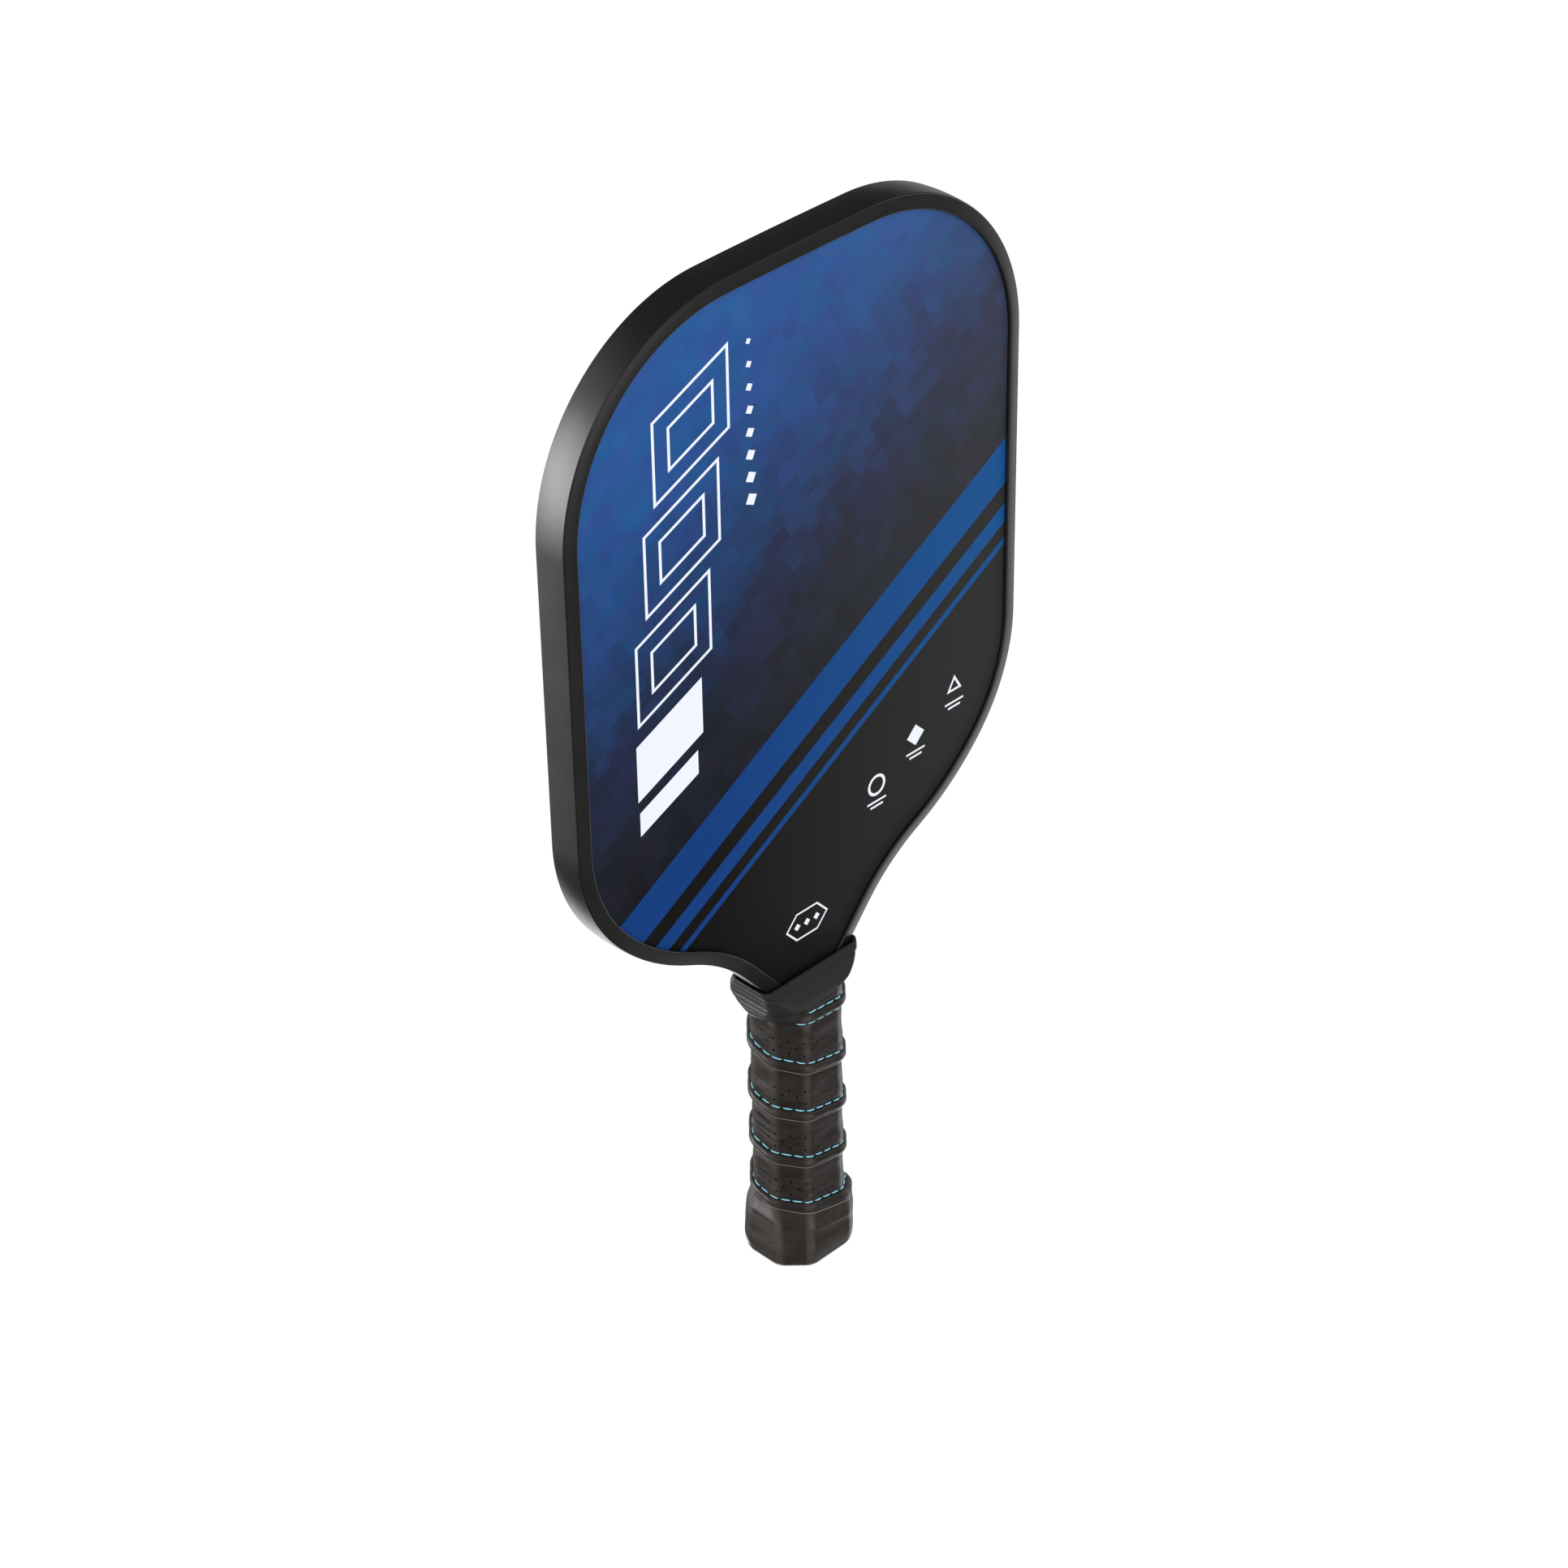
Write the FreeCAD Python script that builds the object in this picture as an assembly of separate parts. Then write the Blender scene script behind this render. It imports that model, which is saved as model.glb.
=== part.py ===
import FreeCAD, Part
import math
import os

# A pickleball paddle: a honeycomb panel between two glass-fibre faces, a soft guard around its
# edge, and an eight-sided handle built up around the panel's tang, wrapped in a ribbed grip.
# Millimetres.  The butt rests on z = 0, +Z runs up the paddle, X is its width, and the front
# face looks along -Y.

Vector = FreeCAD.Vector

# ---- Outline of the blade, at the outer edge of the guard --------------------------------
paddle_length = 400.0
paddle_width = 203.0
top_crown_radius = 2300.0
top_corner_radius = 70.0
lower_corner_radius = 68.0
lower_corner_angle = 40.0
shoulder_radius = 92.5
shoulder_angle = 23.0
shoulder_run = 4.6
throat_radius = 72.0
throat_angle = 23.3
throat_width = 42.6

# ---- Panel ---------------------------------------------------------------------------------
core_thickness = 10.5
fleece_thickness = 0.15
face_thickness = 0.5
cell_pitch = 10.0
cell_wall = 0.35
core_rim = 0.8
tang_width = 24.0
tang_bottom = 3.2

# ---- Edge guard ----------------------------------------------------------------------------
guard_web = 2.0
guard_lip_width = 5.5
guard_lip_thickness = 1.2
guard_lip_edge = 0.5
guard_side_bulge = 0.7
guard_corner_radius = 0.8
guard_end_gap = 0.3
edge_glue = 0.3

# ---- Handle --------------------------------------------------------------------------------
grip_width = 34.0
grip_depth = 27.4
grip_chamfer = 8.6
grip_corner_radius = 3.4
points_per_corner = 3
handle_top = 118.0
handle_shoulder_height = 2.4
handle_shoulder_drop = 1.8
handle_bottom = 3.0
mounting_tape = 0.1
fit_gap = 0.05

# ---- Butt cap ------------------------------------------------------------------------------
# Height, and how much wider and deeper than the grip the wrapped handle is there.
butt_flare = (
    (0.0, 1.4, 3.9),
    (1.2, 3.0, 5.8),
    (4.0, 4.2, 6.7),
    (8.0, 4.4, 6.9),
    (18.0, 3.3, 4.8),
    (23.5, 0.0, 0.0),
)
cap_flange = 1.2
cap_floor = 2.9
cap_skirt_height = 20.0
cap_recess_depth = 0.6
cap_recess_margin = 3.0

# ---- Staples that hold the cap -------------------------------------------------------------
staple_wire = 0.8
staple_crown = 9.0
staple_leg = 6.0
staple_height = 13.0

# ---- Grip ----------------------------------------------------------------------------------
under_tape_thickness = 0.12
cushion_thickness = 1.0
skin_thickness = 0.75
wrap_drop = 1.8
wrap_gap = 0.1

# ---- Rib that winds up the grip ------------------------------------------------------------
rib_width = 3.5
rib_height = 1.3
rib_cover_thickness = 0.5
rib_pitch = 20.67
rib_lowest = 23.4
rib_first_turn = -0.25
rib_end_drop = 5.33
rib_top_spread = 3.55
rib_spread_turns = 1.06

# ---- Stitching beside the rib --------------------------------------------------------------
stitch_pitch = 4.15
stitch_length = 3.1
stitch_width = 0.7
stitch_height = 0.3
stitch_offset = 0.5
lower_stitch_turns = 0.2

# ---- Collar --------------------------------------------------------------------------------
collar_overlap = 5.7
collar_slope_height = 6.9
collar_top_wall = 1.0
collar_low_wall = 0.6
collar_rim_height = 1.3
collar_rim_step = 0.4
collar_fit = 0.1
collar_top_chamfer = 1.0
collar_skirt = 5.8
collar_tilt_x = 0.15
collar_tilt_y = -0.26
collar_skirt_limit = 12.8

# ---- Sizes that follow from the ones above -------------------------------------------------
panel_half = core_thickness / 2 + fleece_thickness + face_thickness
panel_inset = guard_web + edge_glue
guard_half = panel_half + guard_lip_thickness
guard_end_height = handle_top + guard_end_gap
wrap_thickness = under_tape_thickness + cushion_thickness + skin_thickness
wrap_top = handle_top - wrap_drop
rib_last_turn = (wrap_top - rib_end_drop - rib_top_spread - rib_lowest) / rib_pitch
collar_top = handle_top + collar_overlap
collar_seat = collar_top - collar_slope_height
collar_low_edge = collar_seat - collar_skirt
lower_corner_end = math.radians(lower_corner_angle)
shoulder_end = math.radians(lower_corner_angle + shoulder_angle)
throat_end = math.radians(lower_corner_angle + shoulder_angle - throat_angle)


# ============================ blade outline =================================================

def outward(angle):
    """Unit direction that points outwards and `angle` below the +X side."""
    return Vector(math.cos(angle), 0, -math.sin(angle))


def downward(angle):
    """Direction of travel down the right-hand edge where its outward side is `angle`."""
    return Vector(-math.sin(angle), 0, -math.cos(angle))


def arc(centre, radius, start, end):
    """Arc of signed radius about a centre, between two outward angles."""
    angles = (start, (start + end) / 2, end)
    points = [centre + outward(angle) * radius for angle in angles]
    return Part.Arc(*points).toShape()


def line(start, end):
    return Part.LineSegment(start, end).toShape()


def lower_centres(side_end):
    """Centres of the lower corner, the shoulder and the throat below a side's lower end."""
    lower = side_end - outward(0) * lower_corner_radius
    shoulder = lower + outward(lower_corner_end) * (lower_corner_radius - shoulder_radius)
    run = downward(shoulder_end) * shoulder_run
    throat = shoulder + outward(shoulder_end) * (shoulder_radius + throat_radius) + run
    return lower, shoulder, throat


def throat_point(throat_centre, inset):
    """Where the straight throat begins, on the outline moved inwards by `inset`."""
    return throat_centre - outward(throat_end) * (throat_radius + inset)


def side_end():
    """Lower end of the right-hand side, as high as the throat's width at the collar asks."""
    flat_end = Vector(paddle_width / 2, 0, 0)
    start = throat_point(lower_centres(flat_end)[2], 0)
    rise = (start.x - throat_width / 2) / math.tan(throat_end)
    return flat_end + Vector(0, 0, collar_top + rise - start.z)


def throat_start(inset):
    """Where the finished outline's straight throat begins."""
    return throat_point(lower_centres(side_end())[2], inset)


def blade_edges(inset):
    """Right-hand edge from the top's centre to the straight throat, moved inwards by `inset`."""
    crown_centre = Vector(0, 0, paddle_length - top_crown_radius)
    corner_x = paddle_width / 2 - top_corner_radius
    corner_rise = math.sqrt((top_crown_radius - top_corner_radius) ** 2 - corner_x ** 2)
    corner_centre = crown_centre + Vector(corner_x, 0, corner_rise)
    crown_end = -math.atan2(corner_rise, corner_x)
    lower_centre, shoulder_centre, throat_centre = lower_centres(side_end())

    side_bottom = side_end() - outward(0) * inset
    side_top = Vector(side_bottom.x, 0, corner_centre.z)
    run_start = shoulder_centre + outward(shoulder_end) * (shoulder_radius - inset)
    run_end = throat_centre - outward(shoulder_end) * (throat_radius + inset)
    return [
        arc(crown_centre, top_crown_radius - inset, -math.pi / 2, crown_end),
        arc(corner_centre, top_corner_radius - inset, crown_end, 0),
        line(side_top, side_bottom),
        arc(lower_centre, lower_corner_radius - inset, 0, lower_corner_end),
        arc(shoulder_centre, shoulder_radius - inset, lower_corner_end, shoulder_end),
        line(run_start, run_end),
        arc(throat_centre, -(throat_radius + inset), shoulder_end, throat_end),
    ]


def mirrored(edges):
    """The edges, with their mirror images on the other side of the paddle."""
    return edges + [edge.mirror(Vector(0, 0, 0), Vector(1, 0, 0)) for edge in edges]


def panel_wire(margin):
    """Closed outline of the panel with its tang, moved inwards by `margin`."""
    inset = panel_inset + margin
    start = throat_start(inset)
    tang_side = tang_width / 2 - margin
    reach = (start.x - tang_side) / math.sin(throat_end)
    tang_shoulder = start + downward(throat_end) * reach
    foot = Vector(tang_side, 0, tang_bottom + margin)
    centre = Vector(0, 0, tang_bottom + margin)
    edges = blade_edges(inset)
    edges += [line(start, tang_shoulder), line(tang_shoulder, foot), line(foot, centre)]
    return Part.Wire(Part.__sortEdges__(mirrored(edges)))


def guard_edges():
    """Open outline from throat to throat, carried a little past the guard's ends."""
    start = throat_start(0)
    reach = (start.z - guard_end_height) / math.cos(throat_end) + guard_lip_width
    return mirrored(blade_edges(0) + [line(start, start + downward(throat_end) * reach)])


def slab(wire, low, high):
    """Plate of a closed outline, between two heights along Y."""
    plate = Part.Face(wire)
    plate.translate(Vector(0, low, 0))
    return plate.extrude(Vector(0, high - low, 0))


# ============================ panel =========================================================

def hexagon(x, z, across_flats):
    """Closed hexagon with two flats upright."""
    reach = across_flats / math.sqrt(3)
    corners = []
    for turn in range(6):
        angle = math.radians(60 * turn + 30)
        corners.append(Vector(x + reach * math.cos(angle), 0, z + reach * math.sin(angle)))
    return Part.makePolygon(corners + corners[:1])


def honeycomb_core():
    """Core plate with every whole cell cut through; cells that the edge would break stay shut."""
    cell_open = cell_pitch - cell_wall
    reach = cell_open / math.sqrt(3) + core_rim
    inside = Part.Face(panel_wire(reach))
    row_step = cell_pitch * math.sqrt(3) / 2
    columns = int(paddle_width / 2 / cell_pitch) + 1
    rows = int((paddle_length - tang_bottom) / row_step) + 1
    cells = []
    for row in range(rows):
        z = tang_bottom + reach + row * row_step
        shift = cell_pitch / 2 * (row % 2)
        for column in range(-columns, columns + 1):
            x = column * cell_pitch + shift
            if inside.isInside(Vector(x, 0, z), 0.001, True):
                cells.append(hexagon(x, z, cell_open))
    plate = Part.Face([panel_wire(0)] + cells)
    plate.translate(Vector(0, -core_thickness / 2, 0))
    return plate.extrude(Vector(0, core_thickness, 0))


def panel_layer(inner, thickness, side):
    """Plain layer of the panel on its front (side -1) or back (side +1)."""
    low, high = sorted((side * inner, side * (inner + thickness)))
    return slab(panel_wire(0), low, high)


# ============================ edge guard ====================================================

def guard_profile():
    """Section of the guard: a channel with crowned lips and a slightly bulging outer side.

    First value: distance inwards from the outer edge.  Second value: height above mid-plane.
    """
    corner = guard_corner_radius
    shoulder = guard_side_bulge + corner
    slant = corner * (1 - math.sqrt(0.5))
    lip_edge = panel_half + guard_lip_edge
    lip_middle = (shoulder + guard_lip_width) / 2
    lip_crown = guard_half - (guard_lip_thickness - guard_lip_edge) / 4
    upper = [
        ("arc", (guard_side_bulge, guard_half - corner),
         (guard_side_bulge + slant, guard_half - slant), (shoulder, guard_half)),
        ("arc", (shoulder, guard_half), (lip_middle, lip_crown), (guard_lip_width, lip_edge)),
        ("line", (guard_lip_width, lip_edge), (guard_lip_width, panel_half)),
        ("line", (guard_lip_width, panel_half), (guard_web, panel_half)),
    ]
    lower = [(kind, *[(inward, -height) for inward, height in points]) for kind, *points in upper]
    closing = [
        ("line", (guard_web, panel_half), (guard_web, -panel_half)),
        ("arc", (guard_side_bulge, guard_half - corner), (0, 0),
         (guard_side_bulge, corner - guard_half)),
    ]
    return upper + lower + closing


def guard_section(origin, outwards):
    """The guard's section as a face, set square to its edge at a point of the outline."""
    edges = []
    for kind, *points in guard_profile():
        placed = [origin - outwards * inward + Vector(0, height, 0) for inward, height in points]
        edges.append(Part.Arc(*placed).toShape() if kind == "arc" else line(*placed))
    return Part.Face(Part.Wire(Part.__sortEdges__(edges)))


def guard_stretch(edge):
    """The guard's section carried along one line or turned about one arc of the outline."""
    start = edge.valueAt(edge.FirstParameter)
    end = edge.valueAt(edge.LastParameter)
    travel = edge.tangentAt(edge.FirstParameter)
    outwards = travel.cross(Vector(0, 1, 0)).normalize()
    middle_of_blade = Vector(0, 0, side_end().z)
    if outwards.dot(start - middle_of_blade) < 0:
        outwards = -outwards
    section = guard_section(start, outwards)
    if isinstance(edge.Curve, Part.Line):
        return section.extrude(end - start)
    spoke = start - edge.Curve.Center
    turn = math.degrees(edge.Length / edge.Curve.Radius)
    if spoke.cross(travel).dot(Vector(0, 1, 0)) < 0:
        turn = -turn
    return section.revolve(edge.Curve.Center, Vector(0, 1, 0), turn)


def edge_guard():
    stretches = [guard_stretch(edge) for edge in guard_edges()]
    whole = stretches[0].multiFuse(stretches[1:])
    return whole.common(above(guard_end_height)).removeSplitter()


def above(height):
    """Large block that keeps what lies above a height."""
    block = Part.makeBox(2 * paddle_width, 2 * paddle_width, 2 * paddle_length)
    block.translate(Vector(-paddle_width, -paddle_width, height))
    return block


def edge_adhesive():
    """Bead between the panel's cut edge and the guard's web."""
    outer = slab(panel_wire(-edge_glue), -panel_half, panel_half)
    inner = slab(panel_wire(0), -panel_half, panel_half)
    return outer.cut(inner).common(above(guard_end_height))


# ============================ handle rings ==================================================

def corner_centre(reach_before, reach_after, angle, radius):
    """Centre of the rounding between two sides 45 degrees apart."""
    before = reach_before - radius
    after = reach_after - radius
    step = math.radians(45)
    x = (before * math.sin(angle + step) - after * math.sin(angle)) / math.sin(step)
    y = (after * math.cos(angle) - before * math.cos(angle + step)) / math.sin(step)
    return x, y


def ring_points(height, grow, extra_width=0.0, extra_depth=0.0):
    """Points of the grip's eight-sided section, grown by `grow`, with their outward directions.

    Each of the eight corners is rounded by narrow flats.  Every layer of the handle uses
    these points with its own `grow`, so that its flats lie on those of the layer under it.
    """
    half_width = (grip_width + extra_width) / 2
    half_depth = (grip_depth + extra_depth) / 2
    diagonal = (half_width + half_depth - grip_chamfer) / math.sqrt(2)
    reaches = [half_width, diagonal, half_depth, diagonal] * 2
    points = []
    for side in range(8):
        angle = math.radians(45 * side)
        x, y = corner_centre(reaches[side], reaches[(side + 1) % 8], angle, grip_corner_radius)
        for step in range(points_per_corner):
            turned = angle + math.radians(45 * step / (points_per_corner - 1))
            direction = Vector(math.cos(turned), math.sin(turned), 0)
            points.append((Vector(x, y, height) + direction * (grip_corner_radius + grow), direction))
    return points


def flare_at(height):
    """Extra width and depth of the wrapped handle over its butt cap."""
    if height >= butt_flare[-1][0]:
        return 0.0, 0.0
    for low, high in zip(butt_flare, butt_flare[1:]):
        if height <= high[0]:
            share = (height - low[0]) / (high[0] - low[0])
            return (low[1] + share * (high[1] - low[1]), low[2] + share * (high[2] - low[2]))


def ring(height, grow, drawn_in=0.0, flared=True):
    """Closed wire of the handle's section at a height, its sides drawn in by `drawn_in`."""
    extra_width, extra_depth = flare_at(height) if flared else (0.0, 0.0)
    corners = ring_points(height, grow, extra_width - 2 * drawn_in, extra_depth - 2 * drawn_in)
    points = [point for point, direction in corners]
    return Part.makePolygon(points + points[:1])


def loft(wires):
    """Solid with flat or ruled sides through closed wires."""
    return Part.makeLoft(wires, True, True)


def flare_heights(low, high):
    """The given ends, with every height between them where the flare changes slope."""
    return [low] + [step[0] for step in butt_flare if low < step[0] < high] + [high]


def flared_bar(low, high, grow):
    """Solid bar that follows the butt's flare between two heights."""
    return loft([ring(height, grow) for height in flare_heights(low, high)])


def sleeve(low, high, outer_grow, inner_grow):
    """One closed layer of the grip, down over the butt cap's flare."""
    return flared_bar(low, high, outer_grow).cut(flared_bar(low, high, inner_grow))


# ============================ handle ========================================================

def handle_bar():
    """Both halves of the handle as one bar, with its top shoulder drawn in."""
    grow = -wrap_thickness
    return loft([
        ring(handle_bottom, grow, flared=False),
        ring(handle_top - handle_shoulder_height, grow, flared=False),
        ring(handle_top, grow, handle_shoulder_drop, flared=False),
    ])


def handle_half(side):
    """Front (side -1) or back (side +1) half, with its pocket for the tang and mounting tape."""
    pocket = slab(panel_wire(-fit_gap), -panel_half - mounting_tape, panel_half + mounting_tape)
    low, high = sorted((0.0, side * grip_depth))
    keep = Part.makeBox(2 * grip_width, high - low, 2 * handle_top)
    keep.translate(Vector(-grip_width, low, 0))
    half = handle_bar().cut(pocket).common(keep)
    for hole in staple_solids(fit_gap):
        half = half.cut(hole)
    return half


def mounting_tapes():
    """Tape that fixes each half of the handle to a face of the tang."""
    tapes = []
    tape_top = handle_top - handle_shoulder_height
    for side in (-1, 1):
        low, high = sorted((side * panel_half, side * (panel_half + mounting_tape)))
        width = tang_width - 2 * mounting_tape
        tape = Part.makeBox(width, high - low, tape_top - cap_floor - mounting_tape)
        tape.translate(Vector(-width / 2, low, cap_floor + mounting_tape))
        tapes.append(tape.common(above(tang_bottom)))
    return Part.makeCompound(tapes)


def butt_cap():
    """Cap with a floor, a flange that the wrap stands on, and a skirt around the handle."""
    grow = -wrap_thickness
    flange = flared_bar(0.0, cap_flange, 0.0)
    skirt = flared_bar(cap_flange, cap_skirt_height, grow)
    socket_top = cap_skirt_height + wrap_gap
    socket = loft([ring(height, grow + fit_gap, flared=False) for height in (cap_floor, socket_top)])
    recess = Part.Face(ring(0.0, 0.0, cap_recess_margin)).extrude(Vector(0, 0, cap_recess_depth))
    cap = flange.fuse(skirt).cut(socket).cut(recess).removeSplitter()
    for hole in staple_solids(fit_gap):
        cap = cap.cut(hole)
    return cap


def staple(side, clearance):
    """One staple of flat wire: a crown across the cap's skirt and two legs into the handle."""
    surface = (grip_depth + flare_at(staple_height)[1]) / 2 - wrap_thickness
    crown = surface - staple_wire - fit_gap
    height = staple_wire + 2 * clearance
    span = staple_crown + 2 * clearance
    foot = surface - staple_leg - clearance
    outer = surface + staple_wire if clearance else crown + staple_wire
    pieces = [Part.makeBox(span, outer - crown + clearance, height)]
    pieces[0].translate(Vector(-span / 2, crown - clearance, 0))
    for end in (-1, 1):
        leg = Part.makeBox(height, outer - foot, height)
        leg.translate(Vector(end * (span - height) / 2 - height / 2, foot, 0))
        pieces.append(leg)
    body = pieces[0].multiFuse(pieces[1:])
    body.translate(Vector(0, 0, staple_height - height / 2))
    if side < 0:
        body = body.mirror(Vector(0, 0, 0), Vector(0, 1, 0))
    return body.removeSplitter()


def staple_solids(clearance):
    return [staple(side, clearance) for side in (-1, 1)]


# ============================ rib and stitching =============================================

def perimeter_stations():
    """Distance around the grip's skin to each point of its section, from the front's middle."""
    corners = [point for point, direction in ring_points(0.0, 0.0)]
    front_side = 6
    first = points_per_corner * front_side
    stations = [(corners[first].x, first)]
    for place in range(first + 1, first + len(corners)):
        step = (corners[place % len(corners)] - corners[(place - 1) % len(corners)]).Length
        stations.append((stations[-1][0] + step, place % len(corners)))
    return stations


def grip_perimeter():
    corners = [point for point, direction in ring_points(0.0, 0.0)]
    return sum((corner - corners[index - 1]).Length for index, corner in enumerate(corners))


def rib_height_at(turn):
    """Height of the rib's middle after `turn` turns up from the front of its lowest row."""
    spread = min(max(turn - rib_last_turn + rib_spread_turns, 0.0), 1.0)
    eased = spread * spread * (3 - 2 * spread)
    return rib_lowest + rib_pitch * turn + rib_top_spread * eased


def skin_point(distance, height):
    """Point and outward direction on the skin, `distance` around it from the front's middle.

    The distance runs towards +X first, the way in which the rib comes down.
    """
    total = grip_perimeter()
    distance = distance % total
    stations = perimeter_stations()
    corners = ring_points(height, 0.0, *flare_at(height))
    rounded = stations + [(stations[0][0] + total, stations[0][1])]
    if distance < stations[0][0]:
        distance += total
    for low, high in zip(rounded, rounded[1:]):
        if distance <= high[0] + 1e-9:
            share = (distance - low[0]) / (high[0] - low[0])
            low_point, low_direction = corners[low[1]]
            high_point, high_direction = corners[high[1]]
            point = low_point + (high_point - low_point) * share
            direction = low_direction + (high_direction - low_direction) * share
            return point, direction.normalize()


def turns_between(first, last):
    """The given turns, with every turn between them where the rib meets a corner of the grip."""
    total = grip_perimeter()
    close = 0.1 / total
    turns = [first, last]
    for lap in range(math.floor(first), math.ceil(last) + 1):
        for distance, index in perimeter_stations():
            turn = lap - distance / total
            if first + close < turn < last - close:
                turns.append(turn)
    return sorted(turns)


def arch(width, height, steps=6):
    """Half of an ellipse standing on its base, as (along Z, outwards) points."""
    points = []
    for step in range(steps + 1):
        angle = math.pi * step / steps
        points.append((width / 2 * math.cos(angle), height * math.sin(angle)))
    return points


def rib_section(turn, profile):
    """A profile set square on the skin where the rib is after `turn` turns."""
    total = grip_perimeter()
    middle = rib_height_at(turn)
    corners = []
    for along, out in profile:
        point, direction = skin_point(-turn * total, middle + along)
        corners.append(point + direction * out)
    return Part.makePolygon(corners + corners[:1])


def rib(profile):
    """A profile carried up the grip along the rib."""
    turns = turns_between(rib_first_turn, rib_last_turn)
    return loft([rib_section(turn, profile) for turn in turns])


def rib_cord():
    return rib(arch(rib_width - 2 * rib_cover_thickness, rib_height - rib_cover_thickness))


def rib_cover():
    outside = arch(rib_width, rib_height)
    inside = arch(rib_width - 2 * rib_cover_thickness, rib_height - rib_cover_thickness)
    return rib(outside + inside[::-1])


def stitch(turn, offset):
    """One visible stitch, laid on the skin and bent round it."""
    half = stitch_length / 2 / grip_perimeter()
    profile = [(offset - stitch_width / 2, 0.0), (offset + stitch_width / 2, 0.0),
               (offset + stitch_width / 2, stitch_height), (offset - stitch_width / 2, stitch_height)]
    return loft([rib_section(here, profile) for here in turns_between(turn - half, turn + half)])


def rib_stitching():
    """A row of stitches above the rib, and one below it where the last lap ends."""
    step = stitch_pitch / grip_perimeter()
    offset = rib_width / 2 + stitch_offset
    stitches = []
    for first, side in ((rib_first_turn + step, 1), (rib_last_turn - lower_stitch_turns, -1)):
        count = int((rib_last_turn - step / 2 - first) / step) + 1
        for number in range(count):
            stitches.append(stitch(first + number * step, side * offset))
    return Part.makeCompound(stitches)


# ============================ collar ========================================================

def eight_sided(height, width, depth, chamfer):
    """Closed eight-sided wire at a height."""
    x, y = width / 2, depth / 2
    corners = [(x, y - chamfer), (x - chamfer, y), (chamfer - x, y), (-x, y - chamfer),
               (-x, chamfer - y), (chamfer - x, -y), (x - chamfer, -y), (x, chamfer - y)]
    points = [Vector(px, py, height) for px, py in corners]
    return Part.makePolygon(points + points[:1])


def collar_body(wall_top, wall_low, rim_step):
    """Body of the collar: drawn from the grip's eight sides up to the guard's flat section.

    Its rim stands proud by `rim_step`, and a body without a step is plain.
    """
    top_width = throat_width + 2 * (collar_fit + wall_top)
    top_depth = 2 * (guard_half + fit_gap + wall_top)
    low_width = grip_width + 2 * (fit_gap + wall_low)
    low_depth = grip_depth + 2 * (fit_gap + wall_low)
    top_chamfer = collar_top_chamfer + wall_top / 2
    low = eight_sided(collar_seat - collar_skirt_limit, low_width, low_depth, grip_chamfer)
    seat = eight_sided(collar_seat, low_width, low_depth, grip_chamfer)
    top = eight_sided(collar_top, top_width, top_depth, top_chamfer)
    body = loft([low, seat]).fuse(loft([seat, top]))
    if rim_step:
        share = collar_rim_height / (collar_top - collar_seat)
        under_width = top_width + share * (low_width - top_width) + 2 * rim_step
        under_depth = top_depth + share * (low_depth - top_depth) + 2 * rim_step
        under = eight_sided(collar_top - collar_rim_height, under_width, under_depth, top_chamfer)
        upper = eight_sided(collar_top, top_width + rim_step, top_depth + rim_step, top_chamfer)
        body = body.fuse(loft([under, upper]))
    return body


def collar():
    body = collar_body(collar_top_wall, collar_low_wall, collar_rim_step)
    hollow = collar_body(0.0, 0.0, 0.0)
    normal = Vector(-collar_tilt_x, -collar_tilt_y, 1)
    keep = Part.makeBox(2 * paddle_width, 2 * paddle_width, 2 * paddle_width)
    keep.translate(Vector(-paddle_width, -paddle_width, 0))
    keep.Placement = FreeCAD.Placement(
        Vector(0, 0, collar_low_edge), FreeCAD.Rotation(Vector(0, 0, 1), normal)
    ).multiply(keep.Placement)
    return body.cut(hollow).common(keep).removeSplitter()


# ============================ assembly ======================================================

def grip_layer(outer, thickness):
    """Sleeve of the wrap whose outside lies `outer` inside the skin's outer surface."""
    return sleeve(cap_flange + wrap_gap, wrap_top, -outer, -outer - thickness)


nodes = {
    "honeycomb_core": honeycomb_core(),
    "front_fleece": panel_layer(core_thickness / 2, fleece_thickness, -1),
    "back_fleece": panel_layer(core_thickness / 2, fleece_thickness, 1),
    "front_face": panel_layer(core_thickness / 2 + fleece_thickness, face_thickness, -1),
    "back_face": panel_layer(core_thickness / 2 + fleece_thickness, face_thickness, 1),
    "edge_guard": edge_guard(),
    "edge_adhesive": edge_adhesive(),
    "handle_front_half": handle_half(-1),
    "handle_back_half": handle_half(1),
    "mounting_tapes": mounting_tapes(),
    "butt_cap": butt_cap(),
    "cap_staples": Part.makeCompound(staple_solids(0.0)),
    "grip_under_tape": grip_layer(skin_thickness + cushion_thickness, under_tape_thickness),
    "grip_cushion": grip_layer(skin_thickness, cushion_thickness),
    "grip_skin": grip_layer(0.0, skin_thickness),
    "rib_cord": rib_cord(),
    "rib_cover": rib_cover(),
    "rib_stitching": rib_stitching(),
    "collar": collar(),
}

os.makedirs("parts", exist_ok=True)
for name, shape in nodes.items():
    shape.exportStep(f"parts/{name}.step")
    box = shape.BoundBox
    print(f"{name}: {len(shape.Solids)} solid(s), "
          f"volume {shape.Volume:.1f} mm3, x {box.XMin:.2f}..{box.XMax:.2f}, "
          f"y {box.YMin:.2f}..{box.YMax:.2f}, z {box.ZMin:.2f}..{box.ZMax:.2f}")
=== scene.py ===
import math

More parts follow.
